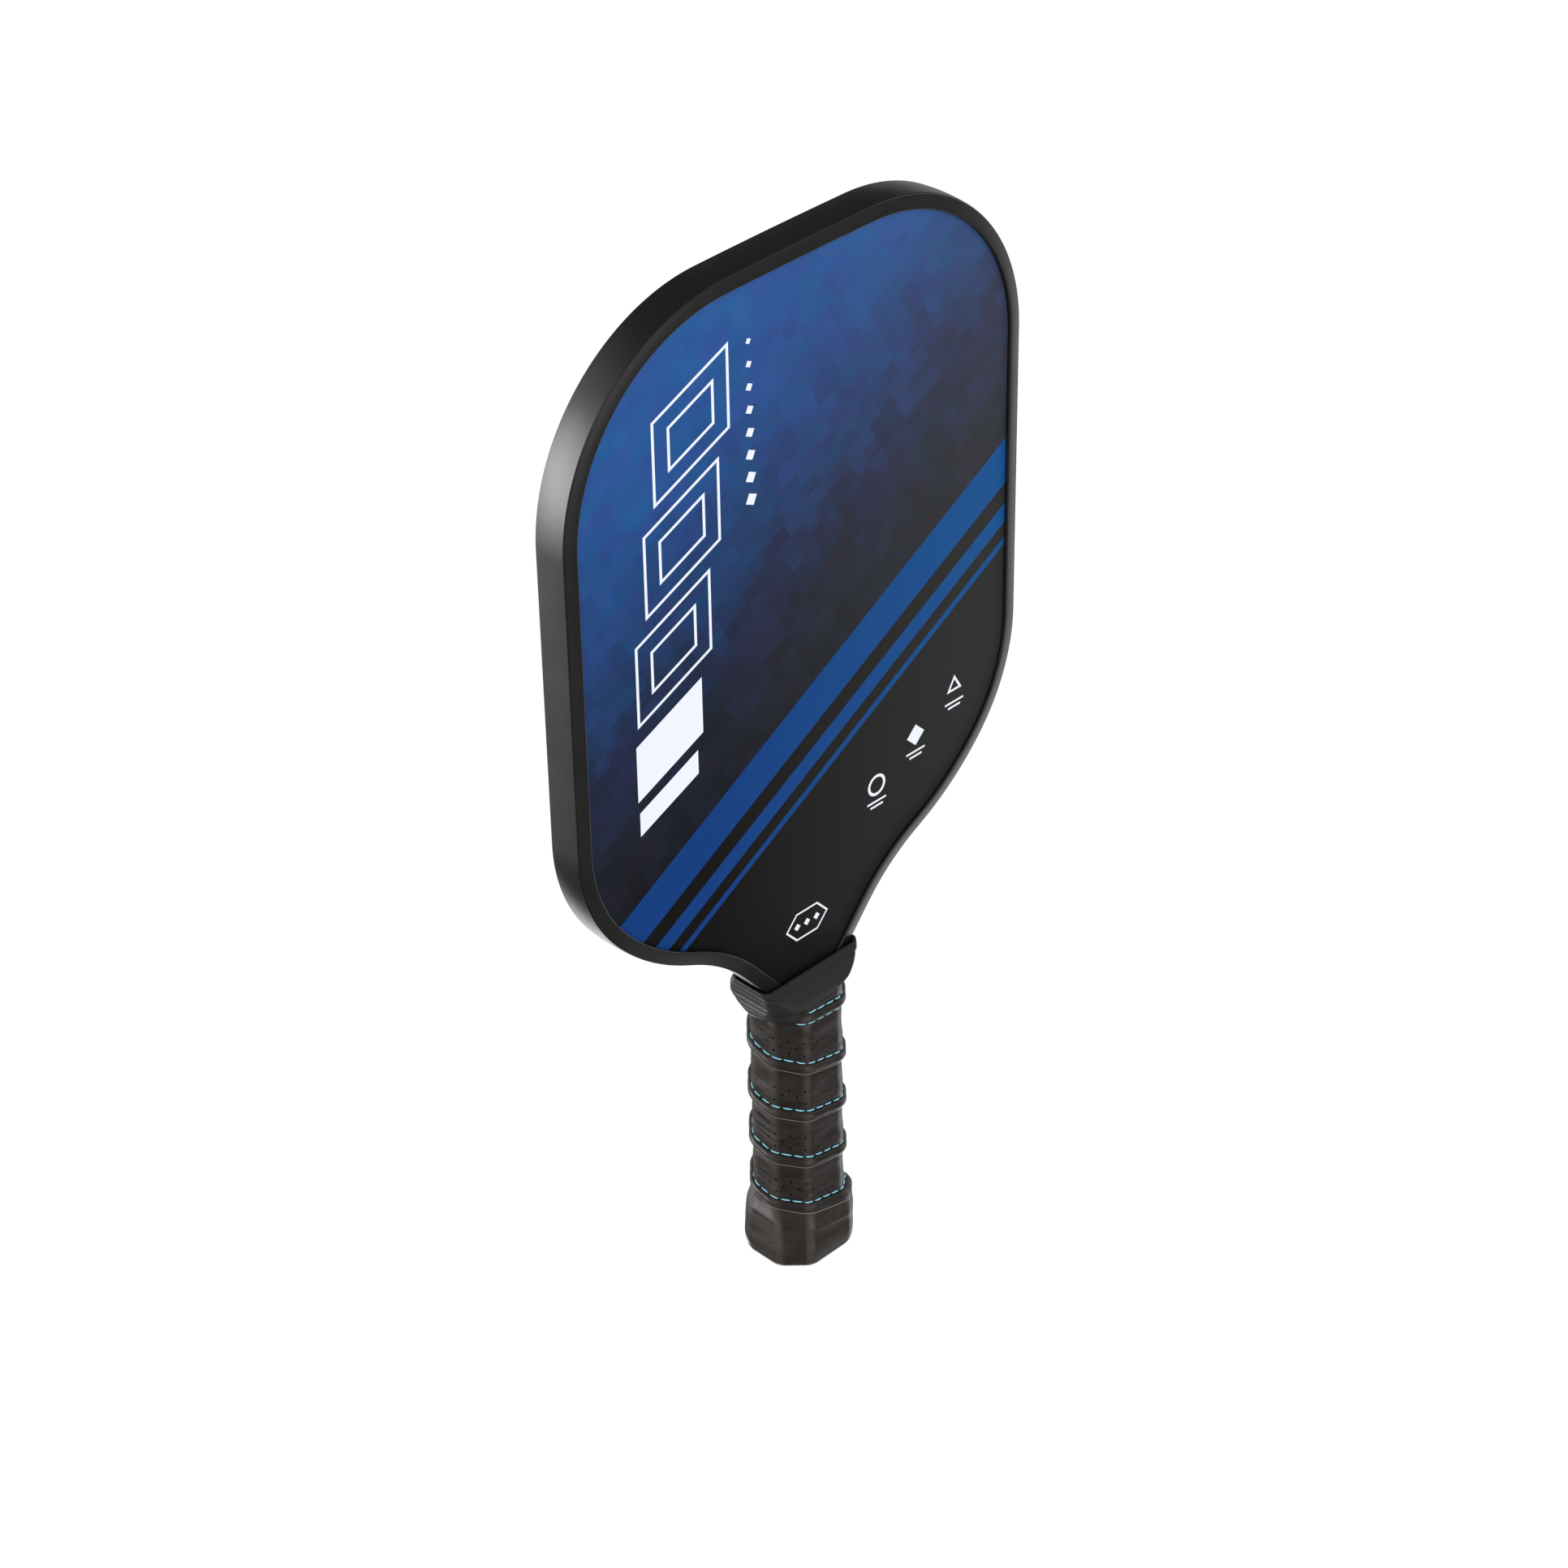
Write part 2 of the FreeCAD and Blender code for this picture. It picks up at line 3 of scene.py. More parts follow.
import bpy
import numpy as np
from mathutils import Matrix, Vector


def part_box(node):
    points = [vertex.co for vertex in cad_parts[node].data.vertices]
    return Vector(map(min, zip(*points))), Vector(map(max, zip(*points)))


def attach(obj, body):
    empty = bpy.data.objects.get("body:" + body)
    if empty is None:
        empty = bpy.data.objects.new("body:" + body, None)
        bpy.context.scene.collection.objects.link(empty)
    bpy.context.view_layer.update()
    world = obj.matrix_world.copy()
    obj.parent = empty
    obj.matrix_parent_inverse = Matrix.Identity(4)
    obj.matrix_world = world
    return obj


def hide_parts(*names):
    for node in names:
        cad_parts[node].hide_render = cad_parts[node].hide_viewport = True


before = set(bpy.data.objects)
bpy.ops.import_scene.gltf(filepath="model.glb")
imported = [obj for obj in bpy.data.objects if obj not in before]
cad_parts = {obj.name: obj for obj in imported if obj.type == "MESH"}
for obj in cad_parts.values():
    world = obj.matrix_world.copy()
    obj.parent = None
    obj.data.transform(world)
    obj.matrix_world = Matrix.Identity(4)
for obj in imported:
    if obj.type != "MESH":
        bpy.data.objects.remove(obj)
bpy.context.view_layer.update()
MM = 0.001


# ---- Honeycomb core ----
# A plate of polypropylene honeycomb, milky and a little translucent, sawn to the blade's outline
# with a tang that runs down into the handle.  It is closed in by the faces and never seen.

class Signal:
    """One output socket in a material.  Arithmetic on it adds Math nodes."""

    def __init__(self, socket):
        self.socket = socket

    def node(self, kind, settings=(), inputs=(), output=0):
        """Any node beside this one: its settings first, then values or links of its sockets."""
        tree = self.socket.id_data
        made = tree.nodes.new(kind)
        for name, value in dict(settings).items():
            if name == "stops":
                set_stops(made.color_ramp, value)
            else:
                setattr(made, name, value)
        for key, value in dict(inputs).items():
            if isinstance(value, Signal):
                tree.links.new(value.socket, made.inputs[key])
            else:
                made.inputs[key].default_value = value
        return Signal(made.outputs[output])

    def math(self, operation, *values):
        return self.node("ShaderNodeMath", {"operation": operation}, enumerate(values))

    def __add__(self, other):
        return self.math("ADD", self, other)

    def __mul__(self, other):
        return self.math("MULTIPLY", self, other)

    def __sub__(self, other):
        return self.math("SUBTRACT", self, other)

    def __rsub__(self, other):
        return self.math("SUBTRACT", other, self)

    def __truediv__(self, other):
        return self.math("DIVIDE", self, other)

    __radd__ = __add__
    __rmul__ = __mul__

    def axes(self):
        """The three numbers of a vector."""
        split = self.node("ShaderNodeSeparateXYZ", inputs={0: self})
        return [Signal(socket) for socket in split.socket.node.outputs]

    def noise(self, size, detail=2.0, stretch=(1, 1, 1)):
        """Smooth noise from 0 to 1 whose patches are about `size` metres wide."""
        placed = self.node("ShaderNodeMapping", inputs={"Vector": self, "Scale": stretch})
        inputs = {"Vector": placed, "Scale": 1 / size, "Detail": detail}
        return self.node("ShaderNodeTexNoise", inputs=inputs)

    def ramp(self, low, high):
        """0 below `low`, 1 above `high`, and a smooth step between them; also falling."""
        settings = {"interpolation_type": "SMOOTHSTEP"}
        if low > high:
            return 1 - self.ramp(high, low)
        return self.node("ShaderNodeMapRange", settings, {0: self, 1: low, 2: high})

    def mix(self, first, second):
        """Blend of two colours, this value being the share of the second."""
        settings = {"data_type": "RGBA"}
        return self.node("ShaderNodeMix", settings, {0: self, 6: first, 7: second}, 2)

    def bump(self, depth, base=None):
        """Normals of a relief that is `depth` metres from 0 to 1."""
        inputs = {"Strength": 1.0, "Distance": depth, "Height": self}
        if base:
            inputs["Normal"] = base
        return self.node("ShaderNodeBump", inputs=inputs)


def set_stops(ramp, stops):
    """Colour stops of a ramp, from (position, colour) pairs."""
    while len(ramp.elements) < len(stops):
        ramp.elements.new(1.0)
    for element, (position, colour) in zip(ramp.elements, stops):
        element.position = position
        element.color = colour


def new_material(name, constants):
    """A material with those constants on its shader, and its Object coordinates."""
    made = bpy.data.materials.new(name)
    made.use_nodes = True
    shader = made.node_tree.nodes["Principled BSDF"]
    for socket, value in constants.items():
        shader.inputs[socket].default_value = value
    place = made.node_tree.nodes.new("ShaderNodeTexCoord")
    return made, Signal(place.outputs["Object"])


def finish_material(made, signals):
    """Links what varies over the surface to the shader's sockets."""
    shader = made.node_tree.nodes["Principled BSDF"]
    for socket, signal in signals.items():
        made.node_tree.links.new(signal.socket, shader.inputs[socket])
    return made


def mottled(name, colour, spread, patch, grain, constants):
    """One colour that varies in patches, on a finely grained surface."""
    made, place = new_material(name, constants)
    darker = [channel * (1 - spread) for channel in colour] + [1.0]
    lighter = [channel * (1 + spread) for channel in colour] + [1.0]
    fine = place.noise(grain)
    return finish_material(made, {
        "Base Color": place.noise(patch, 3.0).mix(darker, lighter),
        "Roughness": fine * 0.15 + (constants["Roughness"] - 0.07),
        "Normal": fine.bump(grain / 6),
    })


def dress(material, slot, *nodes):
    """Gives CAD nodes that stay their material; the slot is not used."""
    for name in nodes:
        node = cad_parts[name]
        node.data.materials.clear()
        node.data.materials.append(material)


milky_plastic = mottled(
    "milky_polypropylene", (0.58, 0.60, 0.60), 0.08, 9 * MM, 0.5 * MM,
    {"Roughness": 0.35, "Transmission Weight": 0.25})
dress(milky_plastic, "core", "honeycomb_core")


# ---- Bonding fleeces ----
# Thin white non-woven sheets, soaked with resin, that bond the two faces to the honeycomb.
# Their fibres lie every way, so the surface is cloudy and hairy.

fleece = mottled(
    "bonding_fleece", (0.62, 0.62, 0.60), 0.15, 1.5 * MM, 0.2 * MM, {"Roughness": 0.85})
dress(fleece, "fleece", "front_fleece", "back_fleece")


# ---- Printed faces ----
# Two glass-fibre sheets with a satin print: a fade from blue to black broken into small square
# blocks, and slanted flat blue bands below it.  The back carries the same print as the front.

fade_slope = 0.52
fade_black = 0.204
fade_blue = 0.379
fade_scatter = 0.23
block_size = 6.2 * MM
block_kinds = (
    (1, 1, 0.31, 0.40),
    (2, 2, 0.57, 0.26),
    (1, 3, 0.83, 0.18),
    (2, 1, 0.19, 0.16),
)
block_lean = math.radians(27)
block_blur = 0.5 * MM
band_lean = math.radians(30)
band_middles = (0.1955, 0.1780, 0.1685)
band_widths = (0.0150, 0.0065, 0.0025)
flat_blue = (0.0004, 0.041, 0.205, 1.0)
# The bands' blue where the painted sheen is full: lighter, as painted reflection.
flat_blue_sheened = (0.0060, 0.078, 0.260, 1.0)
ink_black = (0.0030, 0.0029, 0.0029, 1.0)
fade_colours = (
    (0.0, (0.0020, 0.0020, 0.0024, 1.0)),
    (0.24, (0.0090, 0.0120, 0.0230, 1.0)),
    (0.40, (0.0120, 0.0215, 0.0640, 1.0)),
    (0.58, (0.0125, 0.0480, 0.1620, 1.0)),
    (0.80, (0.0160, 0.0790, 0.2750, 1.0)),
    (1.0, (0.0220, 0.1000, 0.3250, 1.0)),
)
# Painted sheen on the faces: a grey added to the print from here rightwards, growing evenly,
# standing in for the faces' reflection.
painted_sheen_start = -45 * MM
painted_sheen_per_metre = 0.185


def vector_math(operation, first, second):
    """An operation on each of the three numbers of two vectors or colours."""
    return first.node("ShaderNodeVectorMath", {"operation": operation}, {0: first, 1: second})


def square_blocks(place, width, height, seed):
    """Random value from 0 to 1 that is even over each rectangle of a grid."""
    shifted = vector_math("ADD", place, (seed, 0.0, seed))
    snapped = vector_math("SNAP", shifted, (width, 1.0, height))
    return place.node("ShaderNodeTexWhiteNoise", inputs={"Vector": snapped})


def printed_face(name, side):
    """The print, in the plane of one face; `side` is -1 on the front and 1 on the back.

    The fade runs from black at `fade_black` to blue at `fade_blue`, measured up the face and to
    the left.  Blocks, clouds and specks shift it to and fro; each of `block_kinds` is a width
    and a height in blocks, a seed and a share.  Blocks are also tinted towards red or green.  All
    is black under the upper band's middle.  A painted sheen is added: a grey that grows evenly to
    the right, standing in for the face's reflection, and the bands over it are painted a little
    lighter for the same reflection.
    """
    made, place = new_material(name, {"Specular IOR Level": 0.08})
    x, y, z = place.axes()
    x = x * -side
    blur = (place.noise(0.6 * MM, 1.0) - 0.5) * block_blur
    leaning_x = x * math.cos(block_lean) + z * math.sin(block_lean) + blur
    leaning_z = z * math.cos(block_lean) - x * math.sin(block_lean) + blur
    flat = place.node("ShaderNodeCombineXYZ", inputs={0: leaning_x, 2: leaning_z})
    blocks = 0.0
    for wide, high, seed, part in block_kinds:
        blocks = square_blocks(flat, wide * block_size, high * block_size, seed) * part + blocks
    clouds = flat.noise(38 * MM, 1.0)
    rise = (z - x * fade_slope - fade_black) / (fade_blue - fade_black)
    specks = place.noise(0.9 * MM, 3.0)
    level = rise + (blocks - 0.5) * fade_scatter + (clouds - 0.5) * 0.16 + (specks - 0.5) * 0.10
    print_colour = level.node("ShaderNodeValToRGB", {"stops": fade_colours}, {0: level * 0.8})
    lean = square_blocks(flat, 2 * block_size, block_size, 0.71) - 0.5
    tint_parts = {0: lean * 0.5 + 1.0, 1: lean * -0.2 + 1.0, 2: 1.0}
    tint = lean.node("ShaderNodeCombineXYZ", inputs=tint_parts)
    print_colour = vector_math("MULTIPLY", print_colour, tint)
    across = z * math.cos(band_lean) - x * math.sin(band_lean)
    below = across.ramp(band_middles[0], band_middles[0] - 0.2 * MM)
    print_colour = below.mix(print_colour, ink_black)
    # Painted sheen: a grey that grows to the right is added to the print, and the bands turn
    # lighter, for the face's reflection.
    painted_sheen = (x - painted_sheen_start) * painted_sheen_per_metre
    painted_sheen = painted_sheen.math("MAXIMUM", painted_sheen, 0.0)
    grey = painted_sheen.node("ShaderNodeCombineXYZ", inputs={0: painted_sheen, 1: painted_sheen * 0.96, 2: painted_sheen * 0.96})
    print_colour = vector_math("ADD", print_colour, grey)
    band_colour = (painted_sheen * 40).mix(flat_blue, flat_blue_sheened)
    for middle, width in zip(band_middles, band_widths):
        away = (across - middle).math("ABSOLUTE", across - middle)
        band = away.ramp(width / 2 + 0.08 * MM, width / 2 - 0.08 * MM)
        print_colour = band.mix(print_colour, band_colour)
    grain = place.noise(0.35 * MM, 3.0)
    return finish_material(made, {
        "Base Color": print_colour,
        "Roughness": grain * 0.10 + 0.40,
        "Normal": grain.bump(0.02 * MM),
    })


dress(printed_face("front_print", -1), "face", "front_face")
dress(printed_face("back_print", 1), "face", "back_face")


# ---- White print ----
# Thick white screen ink on both faces: a rising row of slanted bars, solid or in outline, with
# small squares beside it, three plain signs with short rules, and a long hexagon at the throat.

ink_thickness = 0.03 * MM
ink_line = 1.1 * MM
bar_lean = math.radians(-24)
bars = (
    ((-61, 226), (26, 9), None),
    ((-60, 246), (29, 21), None),
    ((-57, 279), (33, 30), ink_line),
    ((-52, 317), (33, 30), ink_line),
    ((-47, 355), (33, 30), ink_line),
)
inner_bar_inset = 6.5 * MM
square_count = 8
square_place = np.array([-22, 318]) * MM
square_step = np.array([0, 8]) * MM
signs = ((32, 0, ink_line), (4, 0, None), (3, 90, ink_line * 0.8))
sign_place = np.array([34, 181]) * MM
sign_step = np.array([19, 11]) * MM
sign_radius = 4.2 * MM
rule_drops = (6.6, 8.5)
rule_lengths = (9, 6)
emblem_height = 142 * MM


def leaning_bar(centre, width, height, lean):
    """Four corners of a bar whose right end is shifted upwards by the lean's tangent."""
    side = np.array([[-1, -1], [1, -1], [1, 1], [-1, 1]]) * (width / 2, height / 2)
    return side + np.array(centre) - np.outer(side[:, 0] * math.tan(lean), (0, 1))


def towards(angle):
    """The unit vector at an angle, cosine and sine, or one for each of several."""
    return np.stack([np.cos(angle), np.sin(angle)], -1)


def regular(centre, radius, sides, turn=0.0):
    """Corners of a regular polygon, counter-clockwise."""
    angle = np.radians(turn) + 2 * math.pi * np.arange(sides) / sides
    return np.array(centre) + radius * towards(angle)


def moved_in(corners, inset):
    """A convex outline moved in: each corner goes along the sum of its two sides' normals."""
    along = np.roll(corners, -1, 0) - corners
    along /= np.linalg.norm(along, axis=1, keepdims=True)
    after = np.stack([-along[:, 1], along[:, 0]], 1)
    before = np.roll(after, 1, 0)
    share = 1 + (after * before).sum(1, keepdims=True)
    return corners + inset * (after + before) / share


def ink_patch(corners, line=None):
    """Corners and faces of a thin printed patch, solid or only a line along its outline."""
    count = len(corners)
    ring = np.arange(count)
    after = np.roll(ring, -1)
    loops = [corners] if line is None else [corners, moved_in(corners, line)]
    flat = np.concatenate(np.repeat(loops, 2, axis=0))
    depth = np.tile(np.repeat([0, 1], count), len(loops))
    walls = [ring, after, after + count, ring + count]
    if line is None:
        faces = np.stack(walls, 1).tolist() + [ring[::-1].tolist(), (ring + count).tolist()]
        return flat, depth, faces
    inner = 2 * count
    inner_walls = [after + inner, ring + inner, ring + count + inner, after + count + inner]
    under = [ring, ring + inner, after + inner, after]
    over = [ring + count, after + count, after + count + inner, ring + count + inner]
    faces = np.concatenate([np.stack(quads, 1) for quads in (walls, inner_walls, under, over)])
    return flat, depth, faces.tolist()


def join_parts(parts):
    """One list of points and one of faces, from several of each."""
    points = np.concatenate([part[0] for part in parts])
    starts = np.cumsum([0] + [len(part[0]) for part in parts[:-1]])
    faces = [[corner + start for corner in face]
             for part, start in zip(parts, starts) for face in part[1]]
    return points, faces


def put_in_scene(name, data):
    """A new object with that mesh, lamp or camera."""
    made = bpy.data.objects.new(name, data)
    bpy.context.scene.collection.objects.link(made)
    return made


def add_piece(name, points, faces, material, nodes=(), uv=None, values=()):
    """A smooth mesh at the origin that rides on the paddle and stands for CAD nodes.

    It can carry a UV map and, under each name in `values`, one number for every point.
    """
    mesh = bpy.data.meshes.new(name)
    mesh.from_pydata(np.asarray(points).reshape(-1, 3).tolist(), [], list(faces))
    if uv is not None:
        mesh.uv_layers.new(name="wrap").data.foreach_set("uv", np.asarray(uv, np.float32).ravel())
    for key, value in dict(values).items():
        mesh.attributes.new(key, "FLOAT", "POINT").data.foreach_set("value", np.ravel(value))
    mesh.materials.append(material)
    mesh.validate()
    mesh.shade_smooth()
    piece = put_in_scene(name, mesh)
    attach(piece, "root")
    if nodes:
        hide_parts(*nodes)
    return piece


def white_print(name, side):
    """All the white patches of one face, standing proud of it by the ink's thickness."""
    patches = []
    for centre, size, line in bars:
        corners = leaning_bar(np.array(centre) * MM, size[0] * MM, size[1] * MM, bar_lean)
        patches.append(ink_patch(corners, line))
        if line:
            patches.append(ink_patch(moved_in(corners, inner_bar_inset), line))
    for number in range(square_count):
        radius = (2.6 - 0.2 * number) * MM
        patches.append(ink_patch(regular(square_place + square_step * number, radius, 4, 20)))
    for number, (sides, turn, line) in enumerate(signs):
        centre = sign_place + sign_step * number
        patches.append(ink_patch(regular(centre, sign_radius, sides, turn), line))
        for drop, length in zip(rule_drops, rule_lengths):
            rule = centre - (0, drop * MM)
            patches.append(ink_patch(leaning_bar(rule, length * MM, 0.8 * MM, 0)))
    long_hexagon = regular((0, emblem_height), 6.5 * MM, 6) * (1.55, 1)
    patches.append(ink_patch(long_hexagon, 0.7 * MM))
    for number in (-1, 0, 1):
        patches.append(ink_patch(regular((number * 4.6 * MM, emblem_height), 1.5 * MM, 4)))
    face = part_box("front_face")[0].y if side < 0 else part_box("back_face")[1].y
    solids = []
    for flat, depth, faces in patches:
        x = flat[:, 0] * -side
        y = face + side * depth * ink_thickness
        solids.append((np.stack([x, y, flat[:, 1]], 1), faces))
    points, faces = join_parts(solids)
    piece = add_piece(name, points, faces, white_ink)
    piece.data.shade_flat()
    return piece


white_ink = mottled(
    "white_ink", (0.84, 0.88, 0.96), 0.02, 3 * MM, 0.3 * MM,
    {"Roughness": 0.5, "Specular IOR Level": 0.2})
white_print("front_white_print", -1)
white_print("back_white_print", 1)


# ---- Adhesive bead and mounting tapes ----
# Clear set glue between the panel's sawn edge and the guard, and the double-sided tapes that
# hold the handle's halves on the tang.  Both are closed in.

set_glue = mottled(
    "set_glue", (0.60, 0.59, 0.54), 0.1, 4 * MM, 0.6 * MM, {"Roughness": 0.25})
dress(set_glue, "adhesive", "edge_adhesive")
white_tape = mottled(
    "white_tape", (0.68, 0.66, 0.62), 0.06, 5 * MM, 0.3 * MM, {"Roughness": 0.6})
dress(white_tape, "mounting_tape", "mounting_tapes")


# ---- Edge guard ----
# A soft black plastic channel, extruded and pushed over the glued edge of the panel from throat
# to throat.  Its outer side bulges a little, its corners are rounded, and its lips, highest at
# their inner edges, lie on the faces.

blade_low, blade_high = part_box("edge_guard")
top_crown_radius = 2300 * MM
top_corner_radius = 70 * MM
lower_corner_radius = 68 * MM
lower_corner_angle = math.radians(40)
shoulder_radius = 92.5 * MM
shoulder_angle = math.radians(23)
shoulder_run = 4.6 * MM
throat_radius = 72 * MM
throat_angle = math.radians(23.3)
throat_run = 25 * MM
side_end_height = 221 * MM
edge_spacing = 1.6 * MM


def blade_edge():
    """Points and outward directions down the right-hand edge, from the top's middle.

    Each stretch is a line or an arc that starts where the last one ended.  On an arc the outward
    direction turns evenly with the length, and the points are its centre plus radius times it.
    """
    half_width = blade_high.x
    corner_x = half_width - top_corner_radius
    turn_in = math.asin(corner_x / (top_crown_radius - top_corner_radius))
    corner_z = (blade_high.z - top_crown_radius
                + (top_crown_radius - top_corner_radius) * math.cos(turn_in))
    stretches = (
        (top_crown_radius * turn_in, top_crown_radius),
        (top_corner_radius * (math.pi / 2 - turn_in), top_corner_radius),
        (corner_z - side_end_height, None),
        (lower_corner_radius * lower_corner_angle, lower_corner_radius),
        (shoulder_radius * shoulder_angle, shoulder_radius),
        (shoulder_run, None),
        (throat_radius * throat_angle, -throat_radius),
        (throat_run, None),
    )
    point = np.array([0.0, blade_high.z])
    angle = math.pi / 2
    points, angles = [], []
    for length, radius in stretches:
        along = np.linspace(0, length, max(int(length / edge_spacing), 2), endpoint=False)
        if radius is None:
            onwards = towards(angle - math.pi / 2)
            points.append(point + along[:, None] * onwards)
            angles.append(np.full(len(along), angle))
            point = point + length * onwards
        else:
            turned = angle - along / radius
            centre = point - radius * towards(angle)
            points.append(centre + radius * towards(turned))
            angles.append(turned)
            angle -= length / radius
            point = centre + radius * towards(angle)
    points, angles = np.concatenate(points), np.concatenate(angles)
    keep = points[:, 1] > blade_low.z
    return points[keep], towards(angles)[keep]


def arc_points(centre, radius, start, end, count):
    """Points of a flat arc, with its angles in degrees."""
    return np.array(centre) + radius * towards(np.radians(np.linspace(start, end, count)))


def guard_profile():
    """Closed section, as (inwards from the outer edge, height above mid-plane) points.

    The outer side is one shallow arc, then a rounded corner, a lip whose top rises ever less
    steeply to its full height, a rounded lip edge, and back inside along the panel.
    """
    half = blade_high.y
    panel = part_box("back_face")[1].y + 0.01 * MM
    bulge, corner, lip, nose = 0.30 * MM, 0.7 * MM, 5.6 * MM, 0.45 * MM
    round_rise, even_rise = 0.32 * MM, 0.45 * MM
    shoulder = half - round_rise - even_rise - 0.9 * corner
    side_height = np.linspace(0, shoulder, 9)
    side = np.stack([bulge * (side_height / shoulder) ** 2, side_height], 1)
    rounded = arc_points((bulge + corner, shoulder), corner, 173, 108, 8)
    along = np.linspace(0.04, 1, 14)
    start = rounded[-1, 0]
    crown = np.stack([
        start + along * (lip - nose - start),
        half - round_rise * (1 - along) ** 2 - even_rise * (1 - along)], 1)
    edge = arc_points((lip - nose, half - nose), nose, 80, 0, 6)
    inside = np.array([[lip, panel], [2 * MM, panel]])
    upper = np.concatenate([side, rounded, crown, edge, inside])
    return np.concatenate([upper, (upper * (1, -1))[:0:-1]])


def grid_faces(rows, columns, close_rows=False, close_columns=False):
    """Quads of a grid of points, row after row, joined up in the closed directions."""
    row = np.arange(rows if close_rows else rows - 1)[:, None]
    column = np.arange(columns if close_columns else columns - 1)[None, :]
    next_row, next_column = (row + 1) % rows, (column + 1) % columns
    corners = np.broadcast_arrays(
        row * columns + column, row * columns + next_column,
        next_row * columns + next_column, next_row * columns + column)
    return np.stack(corners, -1).reshape(-1, 4)


def tube_faces(rows, columns, turned=False):
    """A grid closed into a tube, with its two ends; `turned` where its rings run backwards."""
    sides = grid_faces(rows, columns, close_columns=True).tolist()
    ends = [list(range(columns))[::-1], list(range((rows - 1) * columns, rows * columns))]
    return [face[::-1] for face in sides + ends] if turned else sides + ends


def edge_guard():
    """The section carried down the left edge's mirror and the right edge, as one closed shell.

    A point is the edge's point, less its outward direction times the section's inward distance,
    and its depth is the section's height.
    """
    right, outward = blade_edge()
    mirror = np.array([-1, 1])
    points = np.concatenate([(right * mirror)[:0:-1], right])
    outward = np.concatenate([(outward * mirror)[:0:-1], outward])
    profile = guard_profile()
    flat = points[:, None] - outward[:, None] * profile[:, :1]
    heights = np.broadcast_to(profile[:, 1], flat.shape[:2])
    grid = np.stack([flat[..., 0], heights, flat[..., 1]], -1)
    faces = tube_faces(*heights.shape, turned=True)
    return add_piece("guard_moulding", grid, faces, satin_black, ["edge_guard"])


def satin_black_plastic():
    """Black moulded plastic: fine grain, cloudy gloss, and faint rubbed marks."""
    made, place = new_material("satin_black_plastic", {"Specular IOR Level": 0.5})
    grain = place.noise(0.3 * MM, 2.0)
    cloud = place.noise(14 * MM, 3.0)
    rubbed = place.noise(2.5 * MM, 4.0, (1, 0.25, 1)).ramp(0.62, 0.78)
    return finish_material(made, {
        "Base Color": rubbed.mix((0.0100, 0.0096, 0.0095, 1), (0.0170, 0.0165, 0.0165, 1)),
        "Roughness": cloud * 0.10 + grain * 0.05 + 0.25,
        "Normal": grain.bump(0.012 * MM),
    })


satin_black = satin_black_plastic()
edge_guard()


# ---- Handle halves and staples ----
# Two foam-filled halves with a harder skin, glued over the tang, and the flat wire staples that
# hold the butt cap on them.  All of it is under the wrap.

dark_foam = mottled(
    "dark_foam", (0.045, 0.045, 0.048), 0.2, 2 * MM, 0.4 * MM, {"Roughness": 0.7})
dress(dark_foam, "handle_core", "handle_front_half", "handle_back_half")
zinc_wire = mottled(
    "zinc_wire", (0.52, 0.52, 0.53), 0.1, 1 * MM, 0.1 * MM, {"Roughness": 0.35, "Metallic": 1.0})
dress(zinc_wire, "staple", "cap_staples")


# ---- Butt cap ----
# A black moulding: a rounded flange that the wrap stands on, a shallow recess in its flat end,
# and a skirt that the wrap covers, around a socket for the handle.

grip_low, grip_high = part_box("grip_skin")
grip_width = 34 * MM
grip_depth = 27.4 * MM
grip_chamfer = 8.6 * MM
grip_rounding = 7.0 * MM
front_side = 6
flare_heights = np.array([-1.2, 0, 1.2, 4, 8, 18, 23.5, 130]) * MM
flare_widths = np.array([0.6, 1.4, 3.0, 4.2, 4.4, 3.3, 0, 0]) * MM
flare_depths = np.array([3.0, 3.9, 5.8, 6.7, 6.9, 4.8, 0, 0]) * MM
wrap_thickness = 1.87 * MM
cap_columns = 160


def side_reaches(width, depth, chamfer):
    """How far each of the eight sides lies from the axis."""
    slanted = (width + depth - 2 * chamfer) / math.sqrt(8)
    return np.stack(np.broadcast_arrays(*[width / 2, slanted, depth / 2, slanted] * 2), -1)


def rounding_centres(reaches, radius):
    """Centre of each corner's rounding: where its two sides, moved in by the radius, cross."""
    angle = np.radians(45 * np.arange(8))
    before = reaches - np.asarray(radius)[..., None]
    after = np.roll(before, -1, -1)
    step = math.radians(45)
    x = (before * np.sin(angle + step) - after * np.sin(angle)) / math.sin(step)
    y = (after * np.cos(angle) - before * np.cos(angle + step)) / math.sin(step)
    return np.stack([x, y], -1)


def section_stretches():
    """Lengths of the plain grip's flats and arcs, in turn from the front flat towards +X."""
    centres = rounding_centres(side_reaches(grip_width, grip_depth, grip_chamfer), grip_rounding)
    flats = np.linalg.norm(centres - np.roll(centres, 1, 0), axis=1)
    order = (front_side + np.arange(8)) % 8
    return order, np.stack([flats[order], np.full(8, grip_rounding * math.pi / 4)], 1).ravel()


stretch_order, stretch_lengths = section_stretches()
stretch_ends = np.cumsum(stretch_lengths)
perimeter = stretch_ends[-1]


def stretch_at(distance):
    """The flat or arc that a distance round the grip falls on, and the share of it behind."""
    along = (np.asarray(distance) + stretch_lengths[0] / 2) % perimeter
    stretch = np.minimum(np.searchsorted(stretch_ends, along, side="right"), 15)
    return stretch, 1 - (stretch_ends[stretch] - along) / stretch_lengths[stretch]


def section_place(distance):
    """Where a distance round the grip falls: two corners, a share between them, a direction."""
    stretch, share = stretch_at(distance)
    side = stretch_order[stretch // 2]
    on_arc = stretch % 2
    angle = np.radians(45) * (side + on_arc * share)
    first = np.where(on_arc == 1, side, (side - 1) % 8)
    return first, side, np.where(on_arc == 1, 0.0, share), angle


